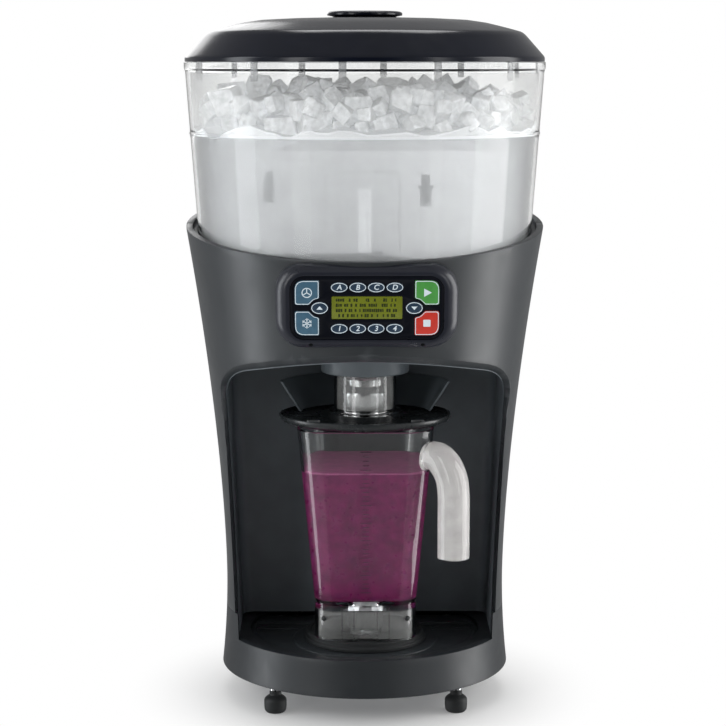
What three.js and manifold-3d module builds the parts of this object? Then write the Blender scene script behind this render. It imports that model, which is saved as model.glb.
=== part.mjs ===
// Slushie machine: a clear ice hopper and shaver in a round hourglass housing, above a belt-driven blender.
// Millimetres, +Z up, front towards -Y, origin on the floor under the hopper's axis.
import * as THREE from "three";
import { mergeVertices } from "three/addons/utils/BufferGeometryUtils.js";
import Module from "manifold-3d";

const wasm = await Module();
wasm.setup();

// ---------- driving dimensions ----------
const FACETS = 40; // sides of the big round mouldings
const ROUND = 24; // sides of mid-sized turned pieces
const SMALL = 12; // sides of small ones
const GAP = 0.3; // clearance between neighbours
const WALL = 8; // housing wall
const WAIST_R = 176;
const RIM_R = 224;
const RIM_Z = 598; // housing rim height at the sides
const RIM_SLOPE = 0.13; // the rim rises towards the back
const BASE_Z = 38; // underside of the base
const SEAM_Z = 115; // base to shell joint
const LIP_Z = 84; // front lip of the base
const DECK_Z = 76;
const DECK_R = 146;
const BACK_WALL_Y = 52; // back wall of the blender bay
const ARCH_Z = 449; // top of the bay opening
const BEVEL_SIDE = 3.5; // width of the bevel down the bay's sides
const BEVEL_TOP = 10; // and over its arch
const JAR_Y = -42; // axis of the jar, chute and spindle
const JAR_FOOT_Z = 88.3;
const JAR_FLOOR_Z = 132;
const JAR_TOP_Z = 354;
const FLOOR_Z = 540; // underside of the hopper floor
const FLOOR_T = 6;
const HOPPER_TOP_Z = 798;
const HOPPER_WALL = 4;
const PANEL_Z = 517.5;
const PANEL_TILT = THREE.MathUtils.degToRad(8.5);
const PANEL_FACE = 6; // front of the bezel, proud of the shell
const GEAR_MODULE = 3;
const GEAR_TEETH = 28;
const PINION_TEETH = 16;
const GEAR_Z = 521;
const GEAR_W = 12;
const MOTOR_Y = 112; // blender motor axis
const BELT_Z = 46;
const BELT_W = 16;
const PULLEY_R = 24;
const FOOT_X = 112;
const FOOT_Y = 110;
const ARM_ANGLES = [-53, 67, 187]; // paddle arms, degrees from +X
const ARM_ROD_R = 120;
const DUCT_LOW = 441;
const DUCT_BEND = 484; // where the duct starts to slope
const COLLAR = [55, 41.5, 417]; // duct collar: outer radius, bore, underside
const GRIP_R = 18.6;

// ---------- helpers ----------
function signedVolume(position, index) {
  const [a, b, c] = [new THREE.Vector3(), new THREE.Vector3(), new THREE.Vector3()];
  let volume = 0;
  for (let i = 0; i < index.length; i += 3) {
    a.fromBufferAttribute(position, index[i]);
    b.fromBufferAttribute(position, index[i + 1]);
    c.fromBufferAttribute(position, index[i + 2]);
    volume += a.dot(b.cross(c)) / 6;
  }
  return volume;
}

// A geometry as a manifold solid: corners merged, flat triangles dropped, faces outward.
function solid(geometry) {
  const bare = new THREE.BufferGeometry();
  bare.setAttribute("position", geometry.getAttribute("position"));
  if (geometry.index) bare.setIndex(geometry.index);
  const merged = mergeVertices(bare, 1e-3);
  const old = merged.index.array;
  const kept = [];
  for (let i = 0; i < old.length; i += 3) {
    const [a, b, c] = [old[i], old[i + 1], old[i + 2]];
    if (a !== b && b !== c && c !== a) kept.push(a, b, c);
  }
  const inward = signedVolume(merged.getAttribute("position"), kept) < 0;
  if (inward) kept.reverse();
  const vertProperties = new Float32Array(merged.getAttribute("position").array);
  return new wasm.Manifold(new wasm.Mesh({ numProp: 3, vertProperties, triVerts: new Uint32Array(kept) }));
}

function geometryOf(manifold) {
  const mesh = manifold.getMesh();
  const geometry = new THREE.BufferGeometry();
  geometry.setAttribute("position", new THREE.BufferAttribute(mesh.vertProperties, 3));
  geometry.setIndex(new THREE.BufferAttribute(mesh.triVerts, 1));
  return geometry;
}

// Solid of revolution about +Z through (x, y), from a profile of [radius, z] points.
function turned(profile, x = 0, y = 0, sides = FACETS) {
  const geometry = new THREE.LatheGeometry(profile.map(([r, z]) => new THREE.Vector2(r, z)), sides);
  geometry.rotateX(Math.PI / 2);
  geometry.translate(x, y, 0);
  return solid(geometry);
}

function cylinder(radius, low, high, x = 0, y = 0, sides = ROUND) {
  return turned([[0, low], [radius, low], [radius, high], [0, high]], x, y, sides);
}

function pipe(outer, inner, low, high, x = 0, y = 0, sides = ROUND) {
  return turned([[inner, low], [outer, low], [outer, high], [inner, high], [inner, low]], x, y, sides);
}

function box(low, high) {
  const size = high.map((v, i) => v - low[i]);
  const geometry = new THREE.BoxGeometry(...size);
  geometry.translate(...low.map((v, i) => v + size[i] / 2));
  return solid(geometry);
}

// Closed solid through rings of points, each ring with the same count, ends closed by a fan.
function loft(rings) {
  const count = rings[0].length;
  const points = rings.flat();
  const index = [];
  for (let r = 0; r + 1 < rings.length; r++) {
    for (let i = 0; i < count; i++) {
      const [a, b] = [r * count + i, r * count + (i + 1) % count];
      index.push(a, b, b + count, a, b + count, a + count);
    }
  }
  for (const [ring, flip] of [[0, true], [rings.length - 1, false]]) {
    const middle = rings[ring].reduce((sum, p) => sum.add(p), new THREE.Vector3()).divideScalar(count);
    points.push(middle);
    for (let i = 0; i < count; i++) {
      const [a, b] = [ring * count + i, ring * count + (i + 1) % count];
      index.push(...(flip ? [b, a, points.length - 1] : [a, b, points.length - 1]));
    }
  }
  const geometry = new THREE.BufferGeometry();
  geometry.setAttribute("position", new THREE.Float32BufferAttribute(points.flatMap((p) => p.toArray()), 3));
  geometry.setIndex(index);
  return solid(geometry);
}

function roundedRect(width, height, radius, x = 0, y = 0, steps = 4) {
  const points = [];
  const corners = [[1, 1, 0], [-1, 1, 90], [-1, -1, 180], [1, -1, 270]];
  for (const [sx, sy, start] of corners) {
    for (let i = 0; i <= steps; i++) {
      const angle = THREE.MathUtils.degToRad(start + (90 * i) / steps);
      const cx = x + sx * (width / 2 - radius);
      const cy = y + sy * (height / 2 - radius);
      points.push(new THREE.Vector2(cx + radius * Math.cos(angle), cy + radius * Math.sin(angle)));
    }
  }
  return points;
}

function ellipse(a, b, x = 0, y = 0, sides = ROUND) {
  return Array.from({ length: sides }, (_, i) => {
    const angle = (2 * Math.PI * i) / sides;
    return new THREE.Vector2(x + a * Math.cos(angle), y + b * Math.sin(angle));
  });
}

function extruded(outline, depth) {
  return new THREE.ExtrudeGeometry(new THREE.Shape(outline), { depth, bevelEnabled: false });
}

// Outline in the XY plane, pushed up from low to high, with holes.
function slab(outline, low, high, holes = []) {
  const whole = solid(extruded(outline, high - low)).translate([0, 0, low]);
  return holes.reduce((part, hole) => part.subtract(slab(hole, low - 1, high + 1)), whole);
}

// Outline in the XZ plane (drawn as x, z), pushed back along +Y from front to back.
function facing(outline, front, back) {
  const geometry = extruded(outline, back - front);
  geometry.rotateX(Math.PI / 2);
  geometry.translate(0, back, 0);
  return solid(geometry);
}

const at = (ring, z) => ring.map((p) => new THREE.Vector3(p.x, p.y, z));

function joined(...parts) {
  return parts.reduce((whole, part) => whole.add(part));
}

const group = new THREE.Group();

function place(parent, name, manifold, color, roughness = 0.5, metalness = 0) {
  const material = new THREE.MeshStandardMaterial({ color, roughness, metalness });
  const mesh = new THREE.Mesh(geometryOf(manifold), material);
  mesh.name = name;
  parent.add(mesh);
}

// ---------- housing ----------
// Smooth outer radius of the hourglass: waist, small flare to the base, large flare to the rim.
function housingCurve(z) {
  if (z < 150) return WAIST_R + 6.4 * ((150 - z) / 112) ** 2;
  return Math.min(RIM_R, WAIST_R + 47.5 * ((z - 150) / 448) ** 1.6);
}

// The same radius on straight facets between shared heights, so that every band of it fits the next.
const ROWS = [BASE_Z, 66, SEAM_Z, 165, 230, 295, 360, 420, 480, 540, RIM_Z, 700];
function housingRadius(z) {
  const i = Math.max(1, ROWS.findIndex((row) => row >= z));
  const share = (z - ROWS[i - 1]) / (ROWS[i] - ROWS[i - 1]);
  return THREE.MathUtils.lerp(housingCurve(ROWS[i - 1]), housingCurve(ROWS[i]), share);
}

const BASE_INNER_R = housingRadius(100) - WALL;

// A band of the housing between two heights, from offset `inner` (or solid) to offset `outer`.
function housingBand(low, high, outer, inner) {
  const heights = [low, ...ROWS.filter((z) => z > low && z < high), high];
  const outside = heights.map((z) => [housingRadius(z) + outer, z]);
  if (inner === null) return turned([[0, low], ...outside, [0, high]]);
  const inside = heights.map((z) => [housingRadius(z) + inner, z]).reverse();
  return turned([...outside, ...inside, outside[0]]);
}

// Everything above the tilted rim plane, shifted up by `rise`.
function aboveRim(rise = 0) {
  const reach = 300;
  const corner = (x, y, z) => new THREE.Vector3(x, y, z);
  const ring = (lift) => [[-reach, -reach], [reach, -reach], [reach, reach], [-reach, reach]]
    .map(([x, y]) => corner(x, y, lift || RIM_Z + rise + RIM_SLOPE * y));
  return loft([ring(0), ring(900)]);
}

const bevelWidth = (z) => BEVEL_SIDE + (BEVEL_TOP - BEVEL_SIDE) * THREE.MathUtils.smoothstep(z, 330, 445);

// Front view outline of the blender bay's arch, grown outward by `grow(z)`.
function archOutline(grow = () => 0, bottom = DECK_Z, steps = 5) {
  const path = new THREE.Path();
  path.moveTo(158 + (bottom - DECK_Z) * 0.04, bottom);
  path.lineTo(170.6, 388);
  path.quadraticCurveTo(173, 424, 138, 431.5);
  path.quadraticCurveTo(70, ARCH_Z, 0, ARCH_Z);
  const half = path.getPoints(steps);
  const full = [...half, ...half.slice(0, -1).reverse().map((p) => new THREE.Vector2(-p.x, p.y))];
  return full.map((p, i) => {
    const before = full[Math.max(i - 1, 0)];
    const after = full[Math.min(i + 1, full.length - 1)];
    const normal = new THREE.Vector2(after.y - before.y, before.x - after.x).normalize();
    if (i === 0 || i === full.length - 1) normal.set(Math.sign(p.x), 0);
    return p.clone().addScaledVector(normal, grow(p.y));
  });
}

// Cutter for the bay: a bevel that follows the curved shell, then straight back.
function archCutter(bottom) {
  const ring = (grow, out, y) => archOutline(grow, bottom).map((p) => {
    const r = housingRadius(p.y) + out;
    return new THREE.Vector3(p.x, y ?? -Math.sqrt(Math.max(r * r - p.x * p.x, 100)), p.y);
  });
  const wide = (z) => 2 * bevelWidth(z);
  const flush = () => 0;
  const depth = WALL + 1;
  return loft([ring(wide, 0, -300), ring(wide, depth), ring(flush, -depth), ring(flush, 0, BACK_WALL_Y)]);
}

const behind = (y) => box([-300, y, 0], [300, 300, 900]);
const shell = housingBand(SEAM_Z, 640, 0, -WALL).subtract(aboveRim());
const openShell = shell.subtract(archCutter(LIP_Z));

const panelGroup = new THREE.Group();
panelGroup.position.set(0, -housingRadius(PANEL_Z), PANEL_Z);
panelGroup.rotation.x = Math.PI / 2 + PANEL_TILT;
panelGroup.updateMatrixWorld(true);

const intoPanel = (part) => part.transform(panelGroup.matrixWorld.clone().invert().elements);
const fromPanel = (part) => part.transform(panelGroup.matrixWorld.elements);

const panelWindow = fromPanel(slab(roundedRect(182, 80, 20), -60, 20));
place(group, "front_shell", openShell.subtract(behind(-GAP / 2)).subtract(panelWindow), 0x4a4d50, 0.45);

const ventOpening = facing(roundedRect(130, 200, 15, 0, 265), 100, 260);
place(group, "rear_shell", openShell.subtract(box([-300, -300, 0], [300, GAP / 2, 900]))
  .subtract(ventOpening), 0x4a4d50, 0.45);

function hopperRadius(z) {
  return 210.7 + 0.0716 * (z - 628);
}

// Trim ring between the rim and the hopper, level with the tilted rim.
function rimTrim() {
  const hopperSide = turned([[0, 540], [hopperRadius(540) + 0.8, 540], [hopperRadius(650) + 0.8, 650], [0, 650]]);
  const ring = housingBand(545, 645, -WALL - GAP, null).subtract(hopperSide);
  const slice = aboveRim(-14).subtract(aboveRim(-5));
  return ring.intersect(slice);
}
place(group, "rim_trim", rimTrim(), 0x2b2d2f, 0.5);

function cavityLiner() {
  const outer = facing(archOutline(() => 3.5, DECK_Z + GAP), -190, BACK_WALL_Y + 3.5);
  const inner = facing(archOutline(undefined, DECK_Z - 5), -260, BACK_WALL_Y);
  const inside = housingBand(60, 600, -WALL - GAP, null);
  const base = cylinder(200, 0, LIP_Z + GAP, 0, 0, FACETS)
    .add(pipe(200, BASE_INNER_R - GAP, LIP_Z - 1, SEAM_Z + GAP, 0, 0, FACETS));
  const [collarR, bore, collarZ] = COLLAR;
  const collar = cylinder(collarR, collarZ, ARCH_Z + 1, 0, JAR_Y, ROUND);
  return outer.subtract(inner).intersect(inside).subtract(base).add(collar)
    .subtract(cylinder(bore, 400, 470, 0, JAR_Y, ROUND));
}
place(group, "cavity_liner", cavityLiner(), 0x24282a, 0.5);

// ---------- base ----------
function baseHousing() {
  const outside = [BASE_Z, 66, LIP_Z, SEAM_Z - GAP].map((z) => [housingRadius(z), z]);
  const inner = BASE_INNER_R;
  const profile = [
    ...outside,
    [inner, SEAM_Z - GAP], [inner, LIP_Z - 0.6], [DECK_R, 80], [DECK_R, 70],
    [inner, 70], [inner, BASE_Z], outside[0],
  ];
  const inletHole = box([-90, 120, 48], [-50, 200, 68]);
  return turned(profile).subtract(facing(archOutline(undefined, LIP_Z), -260, 20)).subtract(inletHole);
}
place(group, "base_housing", baseHousing(), 0x3b3e41, 0.42);

function basePlate() {
  const radius = BASE_INNER_R - GAP;
  const low = BASE_Z + GAP;
  let plate = cylinder(radius, low, low + 3, 0, 0, FACETS);
  for (const x of [-FOOT_X, FOOT_X]) {
    for (const y of [-FOOT_Y, FOOT_Y]) {
      plate = plate.add(cylinder(12.5, low, 60, x, y, SMALL)).subtract(cylinder(8.2, 30, 70, x, y, SMALL));
    }
  }
  return plate;
}
place(group, "base_plate", basePlate(), 0x9a9da0, 0.4, 0.8);

// Shallow drip tray, with a raised island under the jar's seat.
function deckTray() {
  const island = cylinder(90, 70, 85, 0, JAR_Y, 32);
  const basin = cylinder(DECK_R - 6, DECK_Z - 1.5, 85, 0, 0, FACETS).subtract(island);
  return cylinder(DECK_R - 0.5, 72.5, DECK_Z, 0, 0, FACETS).subtract(basin)
    .subtract(cylinder(20, 60, 90, 0, JAR_Y, ROUND)).subtract(behind(BACK_WALL_Y + 6));
}
place(group, "deck_tray", deckTray(), 0x2a2d2f, 0.45);

place(group, "jar_pad", turned([
  [30, DECK_Z + GAP], [77, DECK_Z + GAP], [77, 81], [74, 84], [74, 88], [30, 88], [30, DECK_Z + GAP],
], 0, JAR_Y, 32), 0x1c1e20, 0.6);

function footProfile() {
  return [[0, 0], [12, 0], [14, 3], [14, 14], [8, 22], [7.4, 26], [7.4, 58], [0, 58]];
}
const feet = [["front_left", -1, -1], ["front_right", 1, -1], ["rear_left", -1, 1], ["rear_right", 1, 1]];
for (const [name, sx, sy] of feet) {
  place(group, `foot_${name}`, turned(footProfile(), sx * FOOT_X, sy * FOOT_Y, SMALL), 0x222426, 0.6);
}

function powerInlet() {
  const body = box([-89.7, 140, 48.3], [-50.3, 166, 67.7]);
  const recess = box([-86, 150, 51.5], [-54, 180, 64.5]);
  const pins = [-78, -70, -62].map((x) => box([x - 1, 148, 56], [x + 1, 163, 60]));
  return joined(body.subtract(recess), ...pins);
}
place(group, "power_inlet", powerInlet(), 0x151617, 0.5);

// Louvred service cover on the back, curved like the shell.
function rearCover() {
  const band = housingBand(150, 385, 3.3, GAP);
  let cover = band.intersect(facing(roundedRect(150, 220, 18, 0, 265), 100, 260));
  for (let i = 0; i < 7; i++) {
    const z = 199 + i * 22;
    cover = cover.subtract(box([-50, 100, z - 3], [50, 260, z + 3]));
  }
  return cover;
}
place(group, "rear_cover", rearCover(), 0x2b2e30, 0.5);

// ---------- control panel, drawn flat in its own frame: x across, y up the face, z out of it ----------
const LCD = [82, 27];
const OVAL = [10, 6.1];
const ARROW = [10, 7.4];
const BIG_KEY = [14.1, 14.5];

function bezel() {
  const wide = roundedRect(212, 100, 34, 0, 0, 5);
  const mid = roundedRect(196, 89, 26, 0, 0, 5);
  const face = roundedRect(188, 84, 22, 0, 0, 5);
  const body = loft([at(wide, -40), at(wide, -3), at(mid, 4), at(face, PANEL_FACE)]);
  const opening = slab(roundedRect(179, 77, 17), 1.2, 20);
  const shelf = slab(roundedRect(172, 70, 15), -80, 2);
  const housing = intoPanel(housingBand(440, 600, GAP, null));
  const screws = [-65, 65].map((x) => cylinder(2.6, 0.5, 20, x, -45, 12));
  return body.subtract(opening).subtract(shelf).subtract(housing).subtract(joined(...screws));
}
place(panelGroup, "panel_bezel", bezel(), 0x202329, 0.35);
for (const [side, x] of [["left", -65], ["right", 65]]) {
  place(panelGroup, `bezel_screw_${side}`, cylinder(2.2, 0.9, 3, x, -45, 12), 0x8a8d90, 0.35, 0.9);
}

// Big key with one generous outer corner and one corner hollowed round the arrow key.
function bigKey(grow = 0) {
  const [a, b] = BIG_KEY;
  const path = new THREE.Path();
  path.moveTo(-a, -b + 3);
  path.lineTo(-a, b - 9);
  path.quadraticCurveTo(-a, b, -a + 9, b);
  path.lineTo(a, b);
  path.lineTo(a, -6.5);
  path.quadraticCurveTo(5.5, -7.5, 2, -b);
  path.lineTo(-a + 3, -b);
  path.quadraticCurveTo(-a, -b, -a, -b + 3);
  const scale = 1 + grow / a;
  return path.getPoints(2).slice(0, -1).map((p) => p.multiplyScalar(scale));
}

function mirrored(points, sx, sy, x, y) {
  const moved = points.map((p) => new THREE.Vector2(sx * p.x + x, sy * p.y + y));
  return sx * sy < 0 ? moved.reverse() : moved;
}

const KEY_X = [-32.1, -10.7, 10.7, 32.1];
const keys = [
  ["key_pulse", (g) => mirrored(bigKey(g), 1, 1, -69.5, 18.3), 0x4c6478],
  ["key_shave", (g) => mirrored(bigKey(g), 1, -1, -69.5, -18.3), 0x4c6478],
  ["key_start", (g) => mirrored(bigKey(g), -1, 1, 69.5, 18.3), 0x3f9a3f],
  ["key_stop", (g) => mirrored(bigKey(g), -1, -1, 69.5, -18.3), 0xc03028],
  ["key_up", (g) => ellipse(ARROW[0] + g, ARROW[1] + g, -54.8, 0, 16), 0x39475a],
  ["key_down", (g) => ellipse(ARROW[0] + g, ARROW[1] + g, 54.8, 0, 16), 0x39475a],
  ...["a", "b", "c", "d"].map((n, i) => [
    `key_${n}`, (g) => ellipse(OVAL[0] + g, OVAL[1] + g, KEY_X[i], 24.6, SMALL), 0x39475a]),
  ...["1", "2", "3", "4"].map((n, i) => [
    `key_${n}`, (g) => ellipse(OVAL[0] + g, OVAL[1] + g, KEY_X[i], -24.8, SMALL), 0x39475a]),
];
const keyHoles = keys.map(([, outline]) => outline(0.4));
const lcdHole = roundedRect(LCD[0] + 0.8, LCD[1] + 0.8, 1.5, 0, 0, 2);
place(panelGroup, "keypad_overlay", slab(roundedRect(178.2, 76.2, 16.5), 1.5, 4.6, [...keyHoles, lcdHole]),
  0x14171b, 0.4);
for (const [name, outline, color] of keys) place(panelGroup, name, slab(outline(0), 2.2, 5.3), color, 0.4);
place(panelGroup, "lcd_window", slab(roundedRect(LCD[0], LCD[1], 1.2, 0, 0, 2), 1.2, 4), 0x6f7c22, 0.15);
place(panelGroup, "control_board", slab(roundedRect(166, 64, 12, 0, 0, 2), -4.5, -2.9), 0x1f5a34, 0.5);
group.add(panelGroup);

// ---------- hopper and lid ----------
function hopperBody() {
  const r = hopperRadius;
  const bottom = FLOOR_Z + FLOOR_T + GAP;
  const profile = [
    [r(bottom), bottom], [r(709), 709], [r(711) + 1.2, 711], [r(714), 714], [r(788), 788],
    [r(788) + 1.5, 790], [r(788) + 1.5, HOPPER_TOP_Z],
    [r(788) - HOPPER_WALL, HOPPER_TOP_Z], [r(bottom) - HOPPER_WALL, bottom], [r(bottom), bottom],
  ];
  return turned(profile);
}
place(group, "hopper", hopperBody(), 0xdfe6ea, 0.1);

const slotOutline = roundedRect(66, 52, 8, 0, -96);
place(group, "hopper_floor", slab(ellipse(204.5, 204.5, 0, 0, FACETS), FLOOR_Z, FLOOR_Z + FLOOR_T,
  [slotOutline, ellipse(10, 10, 0, 0, 24)]), 0xb9bdc0, 0.35, 0.7);
place(group, "shaver_blade", box([-36, -84, FLOOR_Z + FLOOR_T + GAP], [36, -66, FLOOR_Z + FLOOR_T + 3]),
  0xc8ccd0, 0.2, 1);

function hopperLid() {
  const low = HOPPER_TOP_Z + GAP;
  const profile = [
    [0, 852], [129, 849.2], [167, 841.9], [193.6, 834.5], [220.8, 806], [222.4, 803.5], [222.4, low],
    [214.5, low], [214.5, 801.5], [190, 829.5], [125, 844.8], [0, 847.5],
  ];
  let lid = turned(profile);
  for (let angle = -7.5; angle < 352; angle += 30) {
    const tab = new THREE.BoxGeometry(9, 3, 28);
    tab.translate(0, -213, 790);
    tab.rotateZ(THREE.MathUtils.degToRad(angle));
    lid = lid.add(solid(tab));
  }
  return lid;
}
place(group, "hopper_lid", hopperLid(), 0x1b1f27, 0.25);
place(group, "lid_knob", turned([
  [0, 852.4], [40, 852.3], [46.5, 855], [46.5, 858], [44, 860], [0, 860],
], 0, 0, 32), 0x17191d, 0.3);

// ---------- shaver ----------
function paddle() {
  let whole = turned([
    [0, 497], [8.9, 497], [8.9, 548], [24, 549], [24, 562], [13, 576], [8, 590], [8, 640], [0, 643],
  ], 0, 0, ROUND);
  for (const degrees of ARM_ANGLES) {
    const angle = THREE.MathUtils.degToRad(degrees);
    const arm = new THREE.BoxGeometry(180, 16, 10);
    arm.translate(98, 0, 557);
    arm.rotateZ(angle);
    const [x, y] = [ARM_ROD_R * Math.cos(angle), ARM_ROD_R * Math.sin(angle)];
    const rod = turned([
      [0, 556], [5, 556], [5, 632], [7, 649], [10, 649.5], [10, 652], [5.5, 652.5], [5.5, 664], [3.5, 666],
      [3.5, 690], [0, 690],
    ], x, y, 8);
    whole = joined(whole, solid(arm), rod);
  }
  return whole;
}
place(group, "paddle", paddle(), 0x2c2f33, 0.4);

// Involute spur gear outline, thinned a little for backlash.
function gearOutline(teeth, phase) {
  const pressure = THREE.MathUtils.degToRad(25);
  const pitch = (GEAR_MODULE * teeth) / 2;
  const base = pitch * Math.cos(pressure);
  const [root, tip] = [pitch - 1.1 * GEAR_MODULE, pitch + 0.8 * GEAR_MODULE];
  const involute = (r) => (r <= base ? 0 : Math.sqrt((r / base) ** 2 - 1) - Math.acos(base / r));
  const half = Math.PI / (2 * teeth) + involute(pitch) - 0.25 / pitch;
  const points = [];
  for (let t = 0; t < teeth; t++) {
    const centre = phase + (2 * Math.PI * t) / teeth;
    const radii = [root, pitch, tip];
    for (const r of radii) points.push([r, centre - half + involute(r)]);
    for (const r of radii.reverse()) points.push([r, centre + half - involute(r)]);
  }
  return points.map(([r, a]) => new THREE.Vector2(r * Math.cos(a), r * Math.sin(a)));
}

const GEAR_DISTANCE = (GEAR_MODULE * (GEAR_TEETH + PINION_TEETH)) / 2;
const facingUp = Math.PI / 2; // the gear shows a tooth to the pinion, the pinion a gap to the gear
place(group, "paddle_gear", slab(gearOutline(GEAR_TEETH, facingUp), GEAR_Z, GEAR_Z + GEAR_W,
  [ellipse(9.4, 9.4, 0, 0, 24)]), 0xd8d2c4, 0.5);
const pinionGear = slab(gearOutline(PINION_TEETH, -facingUp + Math.PI / PINION_TEETH), GEAR_Z, GEAR_Z + GEAR_W)
  .translate([0, GEAR_DISTANCE, 0]);
place(group, "shaver_pinion", pinionGear.add(cylinder(5, 480, GEAR_Z + 1, 0, GEAR_DISTANCE, SMALL)),
  0xb8bcc0, 0.35, 0.9);
place(group, "shaver_motor", turned([
  [0, 478], [6, 478], [6, 516], [14, 516], [15, 513], [39, 513], [40, 511], [40, 460], [38, 458], [0, 458],
], 0, GEAR_DISTANCE, ROUND), 0x8b8f93, 0.35, 0.9);

// Boxy upper duct that leans forward from the pipe's flange to the slot in the hopper floor.
function ductMouth() {
  const corners = [[1, 1], [-1, 1], [-1, -1], [1, -1]];
  const ring = (inset, y, z) => corners
    .map(([sx, sy]) => new THREE.Vector3(sx * (36 - inset), y + sy * (30 - inset), z));
  const [low, high, topY] = [DUCT_BEND + GAP, FLOOR_Z - GAP, -96];
  const inside = [ring(3, JAR_Y, low - 5), ring(3, JAR_Y, low), ring(3, topY, high), ring(3, topY, high + 5)];
  return loft([ring(0, JAR_Y, low), ring(0, topY, high)]).subtract(loft(inside));
}
place(group, "duct_mouth", ductMouth(), 0x3a3d40, 0.5);
place(group, "ice_duct", turned([
  [27, DUCT_LOW], [30, DUCT_LOW], [30, DUCT_BEND - 3], [47.5, DUCT_BEND - 3], [47.5, DUCT_BEND],
  [27, DUCT_BEND], [27, DUCT_LOW],
], 0, JAR_Y, ROUND), 0x3a3d40, 0.5);

// ---------- chute, splash lid and shield ----------
place(group, "chute_sleeve", turned([
  [36, 366.3], [45, 366.3], [45, 369.5], [38.6, 370], [38.6, 455], [36, 455], [36, 366.3],
], 0, JAR_Y, ROUND), 0xdfe6ea, 0.1);

function splashLid() {
  const rings = (a, b) => ellipse(a, b, 0, JAR_Y, 32);
  const dish = loft([at(rings(98, 81), 354.5), at(rings(107, 90), 365)]);
  const hollow = loft([at(rings(99, 82), 359.5), at(rings(104, 87), 365.5)]);
  const neck = cylinder(29.5, 350, 394, 0, JAR_Y, ROUND)
    .add(turned([[0, 393], [29.5, 393.5], [25.5, 401], [25.5, 418], [0, 418]], 0, JAR_Y, ROUND));
  const bore = cylinder(26.5, 340, 394, 0, JAR_Y, ROUND)
    .add(turned([[0, 392], [26.5, 393], [23, 400], [23, 430], [0, 430]], 0, JAR_Y, ROUND));
  const slant = loft([-1, 1].map((side) => [[-80, 407], [0, 419], [0, 470], [-80, 470]]
    .map(([y, z]) => new THREE.Vector3(side * 60, y, z))));
  const seat = pipe(45.4, 40, 359, 366, 0, JAR_Y, ROUND);
  return joined(dish.subtract(hollow), neck, seat).subtract(bore).subtract(slant);
}
place(group, "splash_lid", splashLid(), 0x1b1d1f, 0.35);

// Half funnel behind the sleeve, riding on the splash lid.
function splashShield() {
  const ring = (a, b, z) => at(ellipse(a, b, 0, JAR_Y, ROUND), z);
  const outer = loft([ring(82, 64, 366.3), ring(106, 88, 404)]);
  const inner = loft([ring(79, 61, 366), ring(103.2, 85.2, 404.5)]);
  return outer.subtract(inner).intersect(box([-200, JAR_Y, 300], [200, 200, 500]));
}
place(group, "splash_shield", splashShield(), 0x15181a, 0.4);

// ---------- jar ----------
// Rounded square ring of the jar at a height, taken in by `inset`.
function jarRing(z, inset = 0) {
  const flare = Math.max(0, (z - JAR_FLOOR_Z) / (JAR_TOP_Z - JAR_FLOOR_Z));
  const half = 63 + 21 * flare;
  const radius = 26 + 9 * flare;
  return at(roundedRect(2 * (half - inset), 2 * (half - inset), radius - inset, 0, JAR_Y, 4), z);
}

const jarBlock = (inset, low, high) => loft([low, JAR_FLOOR_Z, high].sort((a, b) => a - b)
  .filter((z, i, all) => z !== all[i - 1] && z >= low && z <= high).map((z) => jarRing(z, inset)));

function jarBody() {
  const skirt = loft([jarRing(80, 4), jarRing(JAR_FLOOR_Z, 4)]);
  const notch = box([-9, -130, 80], [9, -80, JAR_FOOT_Z + 8]);
  return jarBlock(0, JAR_FOOT_Z, JAR_TOP_Z).subtract(skirt).subtract(notch)
    .subtract(loft([jarRing(JAR_FLOOR_Z + 5, 3.5), jarRing(JAR_TOP_Z + 4, 3.5)]))
    .subtract(cylinder(22, 120, 150, 0, JAR_Y, ROUND));
}
place(group, "jar", jarBody(), 0xe2e9ec, 0.08);

// Hooked grip: out from the jar's front right corner, over and down.
function jarHandle() {
  const heading = THREE.MathUtils.degToRad(-40);
  const route = [[92, 319], [106, 323], [120, 319], [133, 304], [138.5, 282], [139, 240], [139, 200]];
  const points = route.map(([s, z]) => new THREE.Vector3(s * Math.cos(heading), JAR_Y + s * Math.sin(heading), z));
  const path = new THREE.CatmullRomCurve3(points);
  const section = new THREE.Shape(ellipse(GRIP_R, GRIP_R, 0, 0, SMALL));
  const grip = solid(new THREE.ExtrudeGeometry(section, { steps: 12, extrudePath: path, bevelEnabled: false }));
  return grip.subtract(loft([jarRing(200, -0.4), jarRing(370, -0.4)]));
}
place(group, "jar_handle", jarHandle(), 0xe2e9ec, 0.12);

place(group, "cutter_bearing", turned([
  [5.6, 118], [30, 118], [30, 131.6], [21.5, 131.6], [21.5, 137.4], [30, 137.4], [28, 144], [5.6, 146], [5.6, 118],
], 0, JAR_Y, ROUND), 0xa8acb0, 0.3, 0.9);

function cutter() {
  let whole = turned([[0, 103.5], [5, 103.5], [5, 148], [9, 149], [9, 155], [0, 158]], 0, JAR_Y, SMALL);
  for (const [degrees, rise] of [[0, 16], [90, 3], [180, 16], [270, 3]]) {
    const ring = (s, w, z) => [[s, -w, z], [s, w, z], [s, w, z + 2], [s, -w, z + 2]]
      .map(([x, y, h]) => new THREE.Vector3(x, y, h));
    const blade = loft([ring(2, 6, 150.5), ring(16, 6, 151), ring(34, 2.5, 151 + rise)]);
    whole = whole.add(blade.rotate([0, 0, degrees]).translate([0, JAR_Y, 0]));
  }
  return whole;
}
place(group, "cutter", cutter(), 0xc4c8cc, 0.22, 1);

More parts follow.
